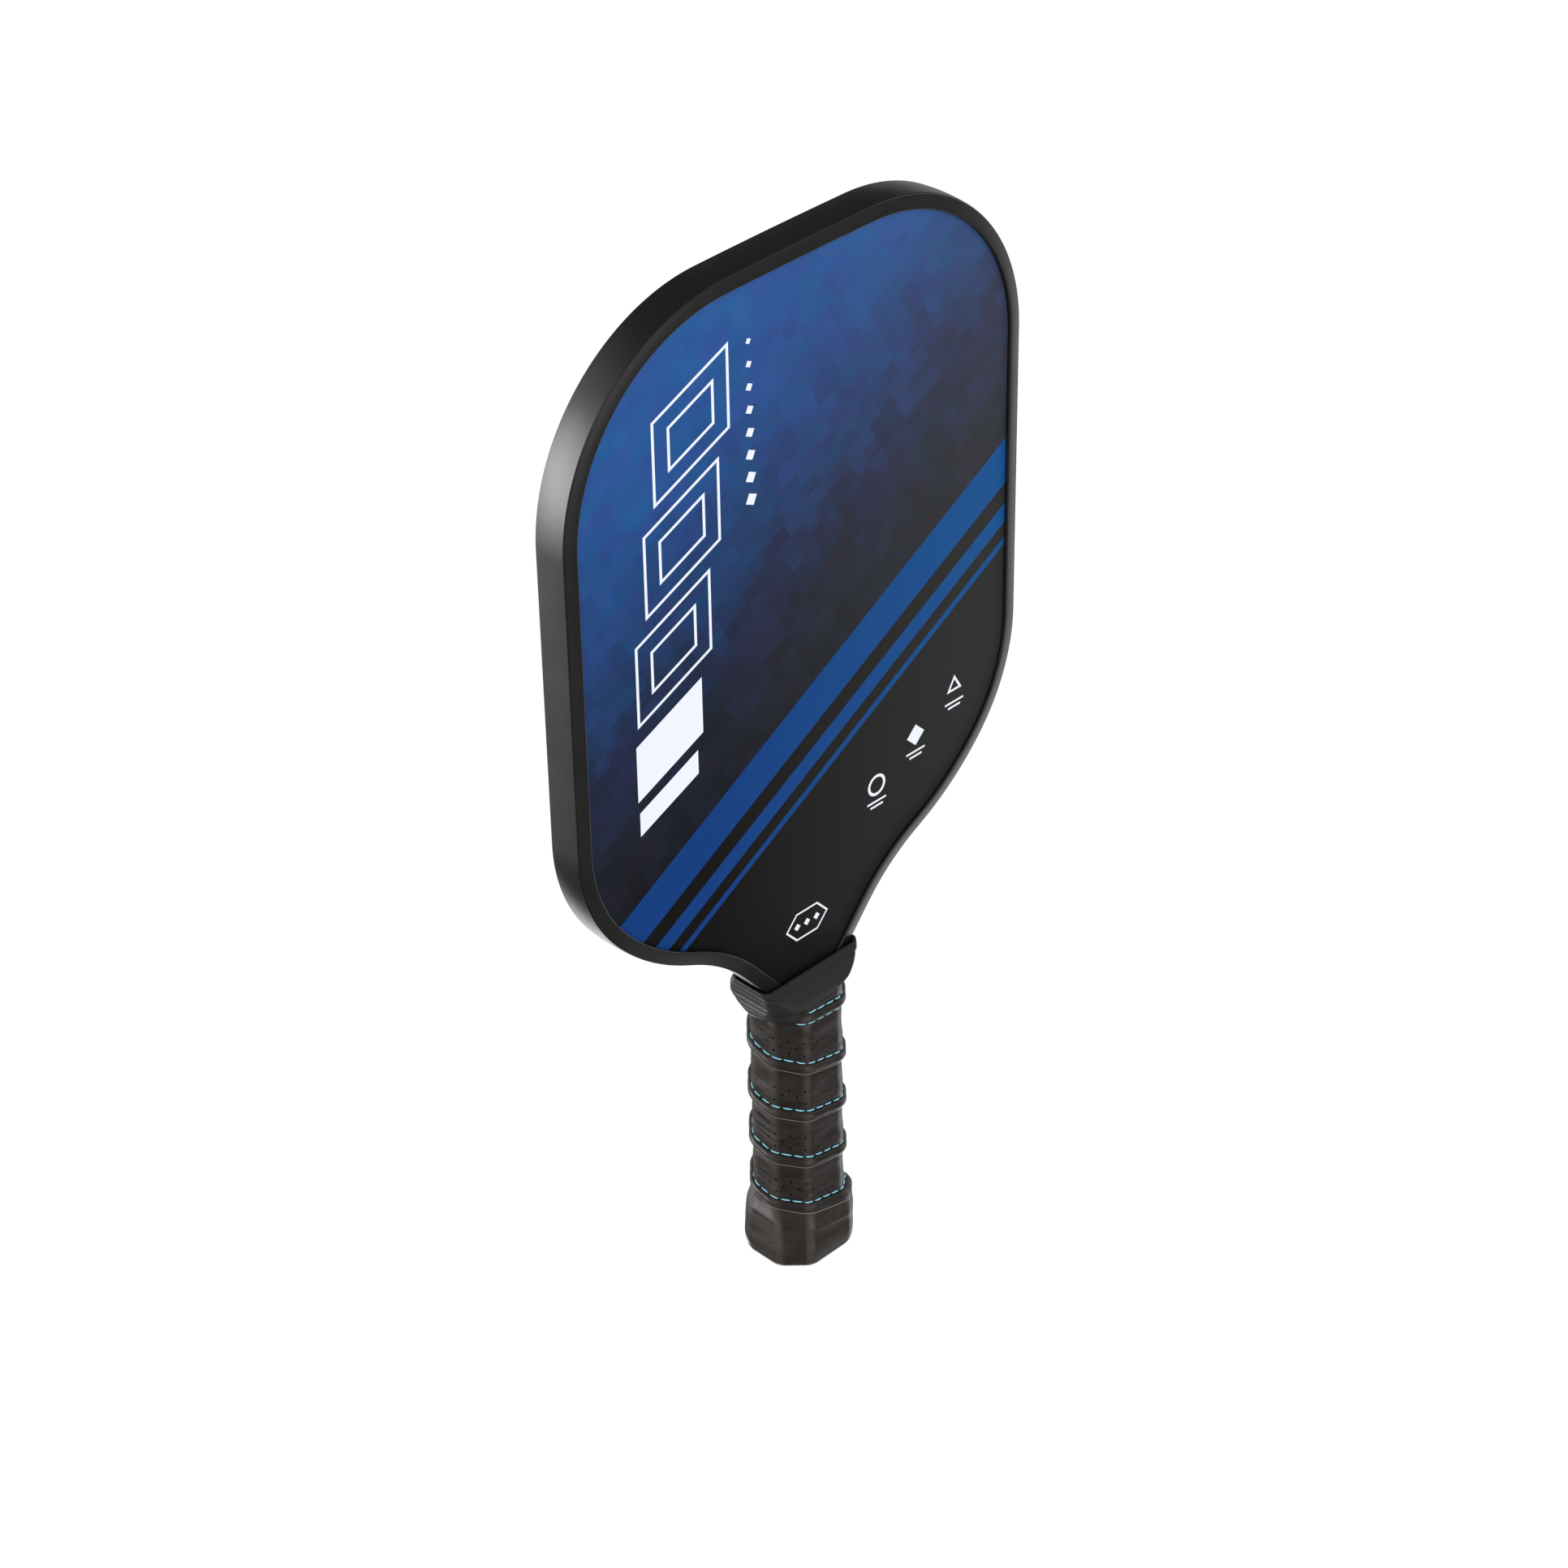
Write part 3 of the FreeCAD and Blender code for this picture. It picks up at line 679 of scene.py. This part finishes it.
def section_points(place, width, depth, chamfer, radius, grow=0.0):
    """Points on an eight-sided section of any size, at those places, and their directions.

    A point is the centre of its corner's rounding, or between two of them on a flat, plus the
    radius along its outward direction.
    """
    first, second, share, angle = place
    centres = rounding_centres(side_reaches(width, depth, chamfer), radius)
    shape = np.broadcast_shapes(centres.shape[:-2], np.shape(share))
    centres = np.broadcast_to(centres, shape + (8, 2))
    middle = 0
    for corner, part in ((first, 1 - share), (second, share)):
        corner = np.broadcast_to(corner, shape)[..., None, None]
        middle = middle + np.take_along_axis(centres, corner, -2)[..., 0, :] * part[..., None]
    outward = towards(angle) + 0 * middle
    return middle + (np.asarray(radius) + grow)[..., None] * outward, outward


def flare(height):
    """Extra width and depth over the butt cap, eased over 3 mm of height."""
    steps = np.linspace(-1.5 * MM, 1.5 * MM, 7)
    heights = np.asarray(height)[..., None] + steps
    return [np.interp(heights, flare_heights, extra).mean(-1)
            for extra in (flare_widths, flare_depths)]


def corner_share(distance):
    """1 on the middle of a corner's arc and 0 on a flat, a squared sine between."""
    stretch, share = stretch_at(distance)
    return np.where(stretch % 2 == 1, np.sin(math.pi * share) ** 2, 0.0)


def grip_surface(distance, height, grow=0.0, flared=True):
    """Points and outward directions on the wrapped handle, grown by `grow`."""
    level = 0.0 * np.asarray(height)
    wider, deeper = flare(height) if flared else (level, level)
    flat, outward = section_points(
        section_place(distance), grip_width + wider, grip_depth + deeper,
        grip_chamfer, grip_rounding + level, grow)
    height = np.broadcast_to(height, flat.shape[:-1])
    point = np.concatenate([flat, height[..., None]], -1)
    return point, np.concatenate([outward, 0 * height[..., None]], -1)


def butt_cap():
    """Rings from the middle of the end outwards, up the skirt, and back down the socket.

    Each is the grip's section at a height, grown by a distance, with the flare or without it.
    """
    socket = 0.05 - wrap_thickness / MM
    rings = (
        (0.6, -11.0, True), (0.6, -3.3, True), (0.5, -3.05, True), (0.1, -2.95, True),
        (0.0, -2.7, True), (0.0, -0.8, True), (0.08, -0.35, True), (0.35, -0.05, True),
        (0.75, 0.0, True), (1.15, 0.0, True), (1.2, -0.1, True), (1.2, -1.87, True),
        (10.0, -1.87, True), (20.0, -1.87, True), (20.0, socket, False),
        (2.9, socket, False), (2.9, -11.0, False),
    )
    distance = np.linspace(0, perimeter, cap_columns, endpoint=False)
    points = [grip_surface(distance, np.full(cap_columns, height * MM), grow * MM, flared)[0]
              for height, grow, flared in rings]
    faces = tube_faces(len(rings), cap_columns)
    return add_piece("butt_moulding", points, faces, cap_plastic, ["butt_cap"])


cap_plastic = mottled(
    "cap_plastic", (0.014, 0.0135, 0.013), 0.15, 6 * MM, 0.25 * MM, {"Roughness": 0.42})
butt_cap()


# ---- Tape and cushion under the grip ----
# Double-sided tape round the handle and the soft layer of the grip strip.  Both are covered by
# the strip's skin.

dress(white_tape, "under_tape", "grip_under_tape")
soft_cushion = mottled(
    "soft_cushion", (0.030, 0.030, 0.032), 0.2, 1.2 * MM, 0.3 * MM, {"Roughness": 0.9})
dress(soft_cushion, "cushion", "grip_cushion")


# ---- Grip skin ----
# Black synthetic leather, wound up the handle from the butt.  Each lap's lower edge carries the
# rib and lies on the lap below.  Fine creases run along the strip, and it is perforated.

rib_pitch = 20.67 * MM
rib_lowest = 23.4 * MM
rib_last_turn = 4.22
rib_first_turn = -0.25
rib_level_turn = 3.8
rib_top_spread = 4.45 * MM
rib_spread_turns = 0.85
rib_levelling = 11.3 * MM
rib_width = 3.6 * MM
rib_height = 1.5 * MM
stitch_above_rib = 2.25 * MM
perforation_rows = (5.4 * MM, 8.0 * MM, 10.6 * MM)
perforation_step = 5.2 * MM
perforation_radius = 0.42 * MM
skin_columns = 288
skin_rows = 320
skin_inner_rows = 24
skin_thickness = 0.75 * MM
butt_height = 22 * MM
tuck_depth = 0.45 * MM
groove_depth = 0.20 * MM
swell_height = 0.25 * MM
wrinkle_height = 0.070 * MM
wave_height = 0.10 * MM
first_edge_step = 0.35 * MM
squeeze_depth = 0.7 * MM
crease_waves = 26
collar_low_places = (0, 0.083, 0.20, 0.35, 0.50, 0.65, 0.75, 0.80, 0.86, 0.915, 1)
collar_low_heights = (113.4, 114.7, 114.0, 110.0, 107.0, 105.0, 106.2, 108.2, 108.8, 112.6, 113.4)


def rib_height_at(turn):
    """Height of the rib after some turns.

    It is an even pitch, plus a smooth step up to `rib_level_turn`, minus a slope after that.
    """
    spread = np.clip((turn - rib_level_turn) / rib_spread_turns + 1, 0, 1)
    level = np.maximum(turn - rib_level_turn, 0)
    return (rib_lowest + rib_pitch * turn
            + rib_top_spread * spread * spread * (3 - 2 * spread) - rib_levelling * level)


def height_over_rib(distance, height):
    """Height of a point over the rib below it, and its depth under the rib above it."""
    turns = np.arange(0, 6) - np.asarray(distance)[..., None] / perimeter
    gap = np.asarray(height)[..., None] - rib_height_at(turns)
    sewn = (turns > rib_first_turn) & (turns < rib_last_turn)
    over = np.where(sewn & (gap >= 0), gap, 0.1).min(-1)
    under = np.where(sewn & (gap < 0), -gap, 0.1).min(-1)
    return over, under


def creases(distance, height, seed, pitch, slant, count=crease_waves):
    """Sum of waves that repeat round the grip; each has its own direction, length and phase."""
    random = np.random.default_rng(seed)
    total = np.zeros(np.broadcast_shapes(np.shape(distance), np.shape(height)))
    for wave in range(count):
        around = random.integers(-slant, slant + 1) * 2 * math.pi / perimeter
        up = 2 * math.pi / (pitch * random.uniform(0.6, 1.8))
        total = total + np.sin(around * distance + up * height + random.uniform(0, 2 * math.pi))
    return total / math.sqrt(count)


def skin_relief(distance, height):
    """How far the skin stands out: lap edges, stitch groove, swelling and creases, added up.

    The lap's tuck, groove and swelling are bell curves of the height over or under the rib, and
    the creases along the strip come and go in patches.
    """
    over, under = height_over_rib(distance, height)
    lapped = np.clip((height - butt_height) / (1 * MM), 0, 1)
    tuck = tuck_depth * np.exp(-(np.maximum(under - rib_width / 2, 0) / (2.2 * MM)) ** 1.5)
    groove = groove_depth * np.exp(-((over - stitch_above_rib) / (0.50 * MM)) ** 2)
    swell = swell_height * np.exp(-((over - 5.5 * MM) / (3.5 * MM)) ** 2)
    fold = creases(distance, over, 5, 3.4 * MM, 2)
    patch = 0.5 + 0.5 * np.sin(creases(distance, height, 8, 60 * MM, 4, 8) * 2)
    wrinkle = wrinkle_height * np.sign(fold) * np.abs(fold) ** 1.3 * patch
    waves = wave_height * creases(distance, height, 21, 13 * MM, 5, 12)
    return lapped * (swell + wrinkle - tuck - groove) + waves


def collar_edge(distance):
    """Height of the collar's lower edge over the wrap, evened out over 4% of the way round."""
    around = (np.asarray(distance) / perimeter)[..., None] + np.linspace(-0.02, 0.02, 5)
    return np.interp(around, collar_low_places, collar_low_heights, period=1).mean(-1) * MM


def first_lap_edge(distance):
    """Height of the strip's first edge, under the lowest rib: it rises like the rib in front."""
    turned = (distance + perimeter / 2) % perimeter - perimeter / 2
    return 14.2 * MM - 0.23 * np.clip(turned, -22 * MM, 22 * MM)


def grip_skin():
    """A closed sleeve: the grip's surface plus the relief, and a plain inner wall.

    Its UV map holds the distance round the grip and the height over the rib, in metres, and an
    attribute carries painted sheen: it is highest on the corners' arcs and over the butt, most of
    all on the butt's corners, where the leather is coloured lighter as a highlight.
    """
    heights = np.linspace(grip_low.z, grip_high.z, skin_rows)
    distance = np.linspace(0, perimeter, skin_columns, endpoint=False)
    place, rise = distance[None, :], heights[:, None]
    relief = skin_relief(place, rise)
    step = (rise - first_lap_edge(place)) / (0.35 * MM)
    below_edge = 1 / (1 + np.exp(np.clip(step, -30, 30)))
    relief = relief - np.where(rise < butt_height + 1 * MM, first_edge_step * below_edge, 0)
    edge = np.clip((rise - heights[0]) / (1.2 * MM), 0, 1)
    squeezed = np.clip((rise - collar_edge(place) - 0.3 * MM) / (1.2 * MM), 0, 1)
    relief = relief * edge * (1 - squeezed) - squeeze_depth * squeezed
    outer, outward = grip_surface(place, rise + 0 * place)
    outer = outer + outward * relief[..., None]
    inner_heights = np.linspace(grip_high.z, grip_low.z, skin_inner_rows)[:, None]
    inner = grip_surface(place, inner_heights + 0 * place, -skin_thickness)[0]
    points = np.concatenate([outer, inner])
    rows = skin_rows + skin_inner_rows
    # Painted sheen: the leather is coloured lighter on the corners' arcs and over the butt, most
    # on the butt's corners, as highlights.
    on_butt = np.clip((butt_height - rise) / (3 * MM), 0, 1)
    stretched = corner_share(place) * (1 + 0.9 * on_butt) + 0.25 * on_butt
    stretched = np.concatenate([stretched, np.zeros((skin_inner_rows, skin_columns))])
    faces = grid_faces(rows, skin_columns, True, True).tolist()
    over = height_over_rib(place, rise)[0]
    wide = np.concatenate([over, np.zeros((skin_inner_rows + 1, skin_columns))])
    wide = np.concatenate([wide, wide[:, :1]], 1)
    along = np.broadcast_to(np.append(distance, perimeter), wide.shape)
    wrap = np.stack([along, wide], -1)
    uv = np.stack([wrap[:-1, :-1], wrap[:-1, 1:], wrap[1:, 1:], wrap[1:, :-1]], 2)
    return add_piece("wound_grip", points, faces, grip_leather, ["grip_skin"], uv,
                     {"stretched": stretched})


def synthetic_leather(name, perforated):
    """Black synthetic leather: fine pebbled grain, satin patches, and holes where perforated."""
    made, place = new_material(name, {"Specular IOR Level": 0.22})
    pebbles = {"Vector": place, "Scale": 1 / (0.5 * MM)}
    grain = place.node("ShaderNodeTexVoronoi", {"feature": "F1"}, pebbles)
    fine = place.noise(0.25 * MM, 3.0)
    patches = place.noise(7 * MM, 3.0, (0.6, 0.6, 1.8))
    relief = grain * 0.6 + fine * 0.4
    colour = patches.ramp(0.3, 0.7).mix((0.0200, 0.0163, 0.0148, 1), (0.0310, 0.0258, 0.0235, 1))
    # Painted sheen: where the attribute is high, on the corners and the butt, the colour is
    # lighter as a highlight and the roughness a little lower.
    stretched = place.node("ShaderNodeAttribute", {"attribute_name": "stretched"}, output=2)
    stretched = stretched * (place.noise(5 * MM, 2.0).ramp(0.25, 0.65) * 0.6 + 0.4)
    colour = (stretched * 0.8).mix(colour, (0.062, 0.053, 0.048, 1))
    if perforated:
        along, over = place.node("ShaderNodeUVMap", {"uv_map": "wrap"}).axes()[:2]
        hole = 0.0
        half_blur = 0.10 * MM
        for number, row in enumerate(perforation_rows):
            turn = along / perforation_step + 0.5 * number
            sideways = (turn.math("FRACT", turn) - 0.5) * perforation_step
            upwards = over - row
            away = sideways * sideways + upwards * upwards
            away = away.math("SQRT", away)
            hole = away.ramp(perforation_radius + half_blur, perforation_radius - half_blur) + hole
        # Painted shade: the holes are coloured near black, the dark cushion that shows through
        # them made darker still by the shade inside them.
        colour = hole.mix(colour, (0.0008, 0.0007, 0.0006, 1))
        relief = relief - hole * 2.0
    else:
        raw_edge = place.node("ShaderNodeAttribute", {"attribute_name": "raw_edge"}, output=2)
        colour = raw_edge.ramp(0.3, 0.7).mix(colour, (0.26, 0.245, 0.23, 1))
    wrinkles = place.noise(2.2 * MM, 3.0, (0.22, 0.22, 1.0))
    return finish_material(made, {
        "Base Color": colour,
        "Roughness": patches * 0.20 + grain * 0.08 - stretched * 0.08 + 0.22,
        "Normal": relief.bump(0.03 * MM, wrinkles.bump(0.11 * MM)),
    })


grip_leather = synthetic_leather("perforated_grip", True)
plain_leather = synthetic_leather("rib_leather", False)
grip_skin()


# ---- Rib: cord and cover ----
# A soft round cord laid along the strip's lower edge, with the strip's leather folded over it
# and sewn down, so that it winds up the grip as a raised rib.

rib_rows = 1100
lower_row_turns = 0.34
hidden_turns = 0.11
foot_reaches = (0.15, 0.50, 0.58, 0.85, 0.90)
foot_heights = (0.42, 0.38, 0.36, 0.26, 0.0)
foot_is_cut = (0, 0, 1, 1, 1)


def rib_tube(name, outer_width, outer_height, inner_width, inner_height, material, node):
    """A half-oval shell, or a solid one, carried up the grip and tapered at both ends.

    A section point's height is the rib's at that turn plus the point's distance across, and it
    stands out from the grip by the sine of its angle times the height and the taper.  A shell
    also has a thin foot below it, the strip's cut edge, up to where the lower stitches start.
    """
    turn = np.linspace(rib_first_turn, rib_last_turn, rib_rows)[:, None]
    angle = np.linspace(0, math.pi, 13)
    across = np.cos(angle) * outer_width / 2
    out = np.sin(angle) * outer_height
    raw = np.zeros(len(angle))
    if inner_width:
        lower_side = -outer_width / 2 - np.array(foot_reaches) * MM
        inner_side = np.cos(angle[::-1]) * inner_width / 2
        inner_out = np.sin(angle[::-1]) * inner_height
        across = np.concatenate([across[:-1], lower_side, inner_side])
        out = np.concatenate([out[:-1], np.array(foot_heights) * MM, inner_out])
        raw = np.concatenate([raw[:-1], foot_is_cut, raw])
    foot_end = rib_last_turn - lower_row_turns - hidden_turns - 0.02
    footed = np.clip((foot_end - turn) / 0.03, 0, 1)
    lowest = -outer_width / 2 - footed * foot_reaches[-1] * MM
    across = np.where(footed < 1, np.maximum(across, lowest), across)
    to_end = np.minimum((turn - rib_first_turn) / 0.12, (rib_last_turn - turn) / 0.06)
    taper = np.clip(to_end, 0.05, 1) ** 0.5
    distance = -turn * perimeter + 0 * across
    height = rib_height_at(turn) + across * (0.6 + 0.4 * taper)
    ripple = 1 + 0.022 * creases(distance, height, 31, 30 * MM, 26, 30)
    surface, outward = grip_surface(distance, height, -0.02 * MM)
    points = surface + outward * (out * taper * ripple)[..., None]
    faces = tube_faces(*height.shape, turned=True)
    raw_edge = np.broadcast_to(raw * footed, height.shape)
    # The rib's leather gets the same painted sheen on the corners.
    return add_piece(name, points, faces, material, [node], None,
                     {"raw_edge": raw_edge, "stretched": corner_share(distance)})


cord_rubber = mottled(
    "cord_rubber", (0.025, 0.025, 0.025), 0.2, 1.5 * MM, 0.3 * MM, {"Roughness": 0.8})
rib_tube("rib_core", 2.7 * MM, 1.1 * MM, 0, 0, cord_rubber, "rib_cord")
rib_tube(
    "rib_leather_cover", rib_width, rib_height, 2.8 * MM, 1.15 * MM,
    plain_leather, "rib_cover")


# ---- Stitching ----
# Light blue twisted thread, sewn in a row just above the rib, and in a second row below it on
# the last lap.  Each stitch dips into the skin at both ends.

stitch_pitch = 4.15 * MM
stitch_length = 3.6 * MM
stitch_radius = 0.26 * MM


def stitches():
    """Each stitch is a bent tube: its radius follows a superellipse, its ends dip and slant.

    A point lies at the stitch's turn plus the share of its length, and stands out from the grip
    by the cosine of its angle times the radius, less a sixth power that buries the ends.
    """
    step = stitch_pitch / perimeter
    last = rib_last_turn - hidden_turns
    upper = np.arange(rib_first_turn + step, last - step / 2, step)
    lower = np.arange(last - lower_row_turns, last, step)
    turn = np.concatenate([upper, lower])[:, None, None]
    side = np.repeat([1, -1], [len(upper), len(lower)])[:, None, None]
    random = np.random.default_rng(11)
    length = stitch_length * random.uniform(0.92, 1.05, turn.shape)
    along = np.linspace(-1, 1, 15)[None, :, None]
    angle = np.linspace(0, 2 * math.pi, 10, endpoint=False)[None, None, :]
    thick = stitch_radius * np.maximum(1 - np.abs(along) ** 3, 0.02) ** 0.6
    twist = 1 + 0.10 * np.sin(2 * angle + along * 12)
    slant = random.uniform(-0.12, 0.12, turn.shape) * MM
    here = turn + along * (length / 2 / perimeter)
    across = np.sin(angle) * thick * twist + side * stitch_above_rib + along * slant
    out = np.cos(angle) * thick * twist * 0.8 + 0.10 * MM - 0.30 * MM * along ** 6
    distance = -here * perimeter + 0 * across
    height = rib_height_at(here) + across
    surface, outward = grip_surface(distance, height)
    points = surface + outward * out[..., None]
    tube = tube_faces(*distance.shape[1:])
    points, faces = join_parts([(stitch.reshape(-1, 3), tube) for stitch in points])
    return add_piece("blue_stitches", points, faces, blue_thread, ["rib_stitching"])


blue_thread = mottled(
    "blue_thread", (0.27, 0.75, 0.92), 0.06, 0.8 * MM, 0.12 * MM,
    {"Roughness": 0.55, "Sheen Weight": 0.3})
stitches()


# ---- Collar ----
# A stretched black rubber sleeve over the throat: a thick rim lies against the guard, and its
# thin skirt draws in over the top of the wrap, in folds on the left and over the rib's end.

collar_top = 123.7 * MM
collar_shoulder = 116.6 * MM
collar_columns = 300
collar_rows = 74
throat_half_width = 21.3 * MM
fold_height = 0.95 * MM
rib_bulge = 1.55 * MM


def collar_outside(distance, share):
    """Outer surface; `share` runs from 0 at the skirt's edge to 1 at the rim.

    Width and depth pass from the grip's to the throat's, the width along a parabola that starts
    steeply and the depth above the end of the wrap.  The folds are round ridges with sharp
    valleys that fade out away from the left side.
    """
    low = collar_edge(distance)
    height = low + (collar_top - low) * share
    wide = 1 - (1 - share) ** 2
    above_wrap = np.clip((height - collar_shoulder) / (collar_top - collar_shoulder), 0, 1)
    deep = above_wrap * (0.6 + 0.4 * above_wrap)
    plain_width = grip_width + 0.9 * MM
    plain_depth = grip_depth + 0.9 * MM
    width = plain_width + (2 * throat_half_width + 2.2 * MM - plain_width) * wide
    depth = plain_depth + (2 * blade_high.y + 2.1 * MM - plain_depth) * deep
    chamfer = grip_chamfer + (1.8 * MM - grip_chamfer) * share
    radius = grip_rounding + (1.2 * MM - grip_rounding) * share
    flat, outward = section_points(section_place(distance), width, depth, chamfer, radius)
    facing = np.degrees(np.arctan2(outward[..., 1], outward[..., 0])) % 360
    left = np.exp(-(np.maximum(np.abs(facing - 192) - 14, 0) / 20) ** 2)
    phase = 5.2 * share ** 1.1 + 0.5 * np.sin(math.radians(2) * facing)
    wave = np.abs(np.sin(math.pi * phase)) ** 0.6 - 0.6
    fade = np.sin(math.pi * np.clip(share, 0, 0.86) / 0.86)
    folds = fold_height * left * wave * fade
    turn = np.where(distance > perimeter / 2, 5, 4) - distance / perimeter
    away = np.abs(height - rib_height_at(turn))
    under_rib_end = np.clip((rib_last_turn - turn) / 0.06, 0, 1)
    bulge = rib_bulge * np.exp(-(away / (2.5 * MM)) ** 4) * (1 - share) ** 0.5 * under_rib_end
    thin = -0.30 * MM * (1 - np.clip(share / 0.10, 0, 1))
    lip = np.clip((height - (collar_top - 2.0 * MM)) / (0.3 * MM), 0, 1)
    under_lip = np.exp(-((height - (collar_top - 2.3 * MM)) / (0.3 * MM)) ** 2)
    relief = folds + bulge + thin + 0.45 * MM * lip - 0.2 * MM * under_lip
    flat = flat + outward * relief[..., None]
    return np.concatenate([flat, height[..., None]], -1), outward


def collar():
    """A closed sleeve: the outer surface, a rounded crest, and the same moved in by the wall."""
    distance = np.linspace(0, perimeter, collar_columns, endpoint=False)[None, :]
    share = np.linspace(0, 1, collar_rows)[:, None]
    outer, outward = collar_outside(distance + 0 * share, share + 0 * distance)
    outward = np.concatenate([outward, 0 * outward[..., :1]], -1)
    wall = (0.45 + 0.45 * share ** 3)[..., None] * MM
    inner = outer - outward * wall
    crest = outer[-1:] - outward[-1:] * wall[-1:] * 0.5 + np.array([0, 0, 0.18 * MM])
    points = np.concatenate([outer, crest, inner[::-1]])
    faces = grid_faces(len(points), collar_columns, True, True).tolist()
    return add_piece("throat_collar", points, faces, collar_rubber, ["collar"])


collar_rubber = mottled(
    "collar_rubber", (0.0205, 0.0200, 0.0200), 0.10, 5 * MM, 0.3 * MM,
    {"Roughness": 0.46, "Specular IOR Level": 0.28})
collar()


# ---- Floor, light and camera ----
# A plain white floor and a pale surround.  In reflections the surround is dark, but for light low
# at both sides, a soft lamp at the back on the left, one in front, and some from below.

floor_half = 4.0
floor_mesh = bpy.data.meshes.new("floor")
floor_mesh.from_pydata(
    [(-floor_half, -floor_half, 0), (floor_half, -floor_half, 0),
     (floor_half, floor_half, 0), (-floor_half, floor_half, 0)], [], [(0, 1, 2, 3)])
floor = put_in_scene("floor", floor_mesh)
floor_paint, floor_place = new_material(
    "floor_paint", {"Roughness": 0.9, "Specular IOR Level": 0.0})
finish_material(floor_paint, {
    "Base Color": floor_place.noise(0.4, 2.0).mix((0.90, 0.90, 0.90, 1), (0.92, 0.92, 0.92, 1))})
floor_nodes = floor_paint.node_tree
painted = Signal(floor_nodes.nodes["Principled BSDF"].outputs[0])
lit = floor_place.node("ShaderNodeEmission", inputs={"Strength": 1.06})
seen = floor_place.node("ShaderNodeLightPath", output="Is Camera Ray")
floor_mix = floor_place.node("ShaderNodeMixShader", inputs={0: seen * 0.88, 1: painted, 2: lit})
floor_nodes.links.new(floor_mix.socket, floor_nodes.nodes["Material Output"].inputs[0])
floor.data.materials.append(floor_paint)
floor.visible_glossy = False

world = bpy.data.worlds.new("surround")
world.use_nodes = True
bpy.context.scene.world = world
sky = Signal(world.node_tree.nodes.new("ShaderNodeTexCoord").outputs["Generated"])
sky_x, sky_y, sky_z = sky.axes()
low_light = sky_z.ramp(0.25, 0.0) * sky_y.ramp(-0.46, -0.20)
above_left = sky_z.ramp(-0.57, -0.44)
to_right = sky_x.ramp(0.15, 0.65)
right_light = to_right * (1.9 - sky_y.ramp(-0.20, 0.10) * 1.4)
left_light = (1 - to_right) * above_left
to_left_lamp = sky_x * -0.776 + sky_y * 0.600 + sky_z * 0.068
left_lamp_glow = to_left_lamp.ramp(0.45, 0.90) * 1.1 + to_left_lamp.ramp(0.86, 0.99) * 9.0
lamp_light = left_lamp_glow * above_left
under_light = sky_z.ramp(-0.62, -0.78) * sky_x.ramp(-0.15, 0.10) * sky_y.ramp(-0.10, 0.30) * 2.2
to_front_lamp = sky_x * 0.10 - sky_y * 0.97 - sky_z * 0.05
front_light = to_front_lamp.ramp(0.84, 0.98) * 1.7
mirrored = low_light * (right_light + left_light) + lamp_light + under_light + front_light + 0.04
mirror_ray = sky.node("ShaderNodeLightPath", output="Is Glossy Ray")
plain_strength = 0.95
sky_strength = mirror_ray * (mirrored - plain_strength) + plain_strength
background = world.node_tree.nodes["Background"].inputs
background["Color"].default_value = (1, 1, 1, 1)
world.node_tree.links.new(sky_strength.socket, background["Strength"])


def soft_lamp(name, place, target, size, power):
    """A square lamp that looks at a point."""
    lamp = bpy.data.lights.new(name, "AREA")
    lamp.size = size
    lamp.energy = power
    holder = put_in_scene(name, lamp)
    holder.location = place
    aim = Vector(target) - Vector(place)
    holder.rotation_euler = aim.to_track_quat("-Z", "Y").to_euler()


soft_lamp("left_lamp", (-1.2, -1.0, 1.3), (0, 0, 0.25), 1.0, 5)
soft_lamp("right_lamp", (1.5, -0.9, 1.0), (0, 0, 0.25), 1.0, 4)

camera = bpy.data.cameras.new("camera")
camera.sensor_width = 36.0
camera.lens = 99.0
camera.clip_end = 50.0
eye = put_in_scene("camera", camera)
eye.location = (-0.822283, -0.827532, 1.015534)
eye.rotation_euler = (math.radians(54.903219), math.radians(0.776949), math.radians(-45.225213))
bpy.context.scene.camera = eye
bpy.context.scene.view_settings.view_transform = "Standard"
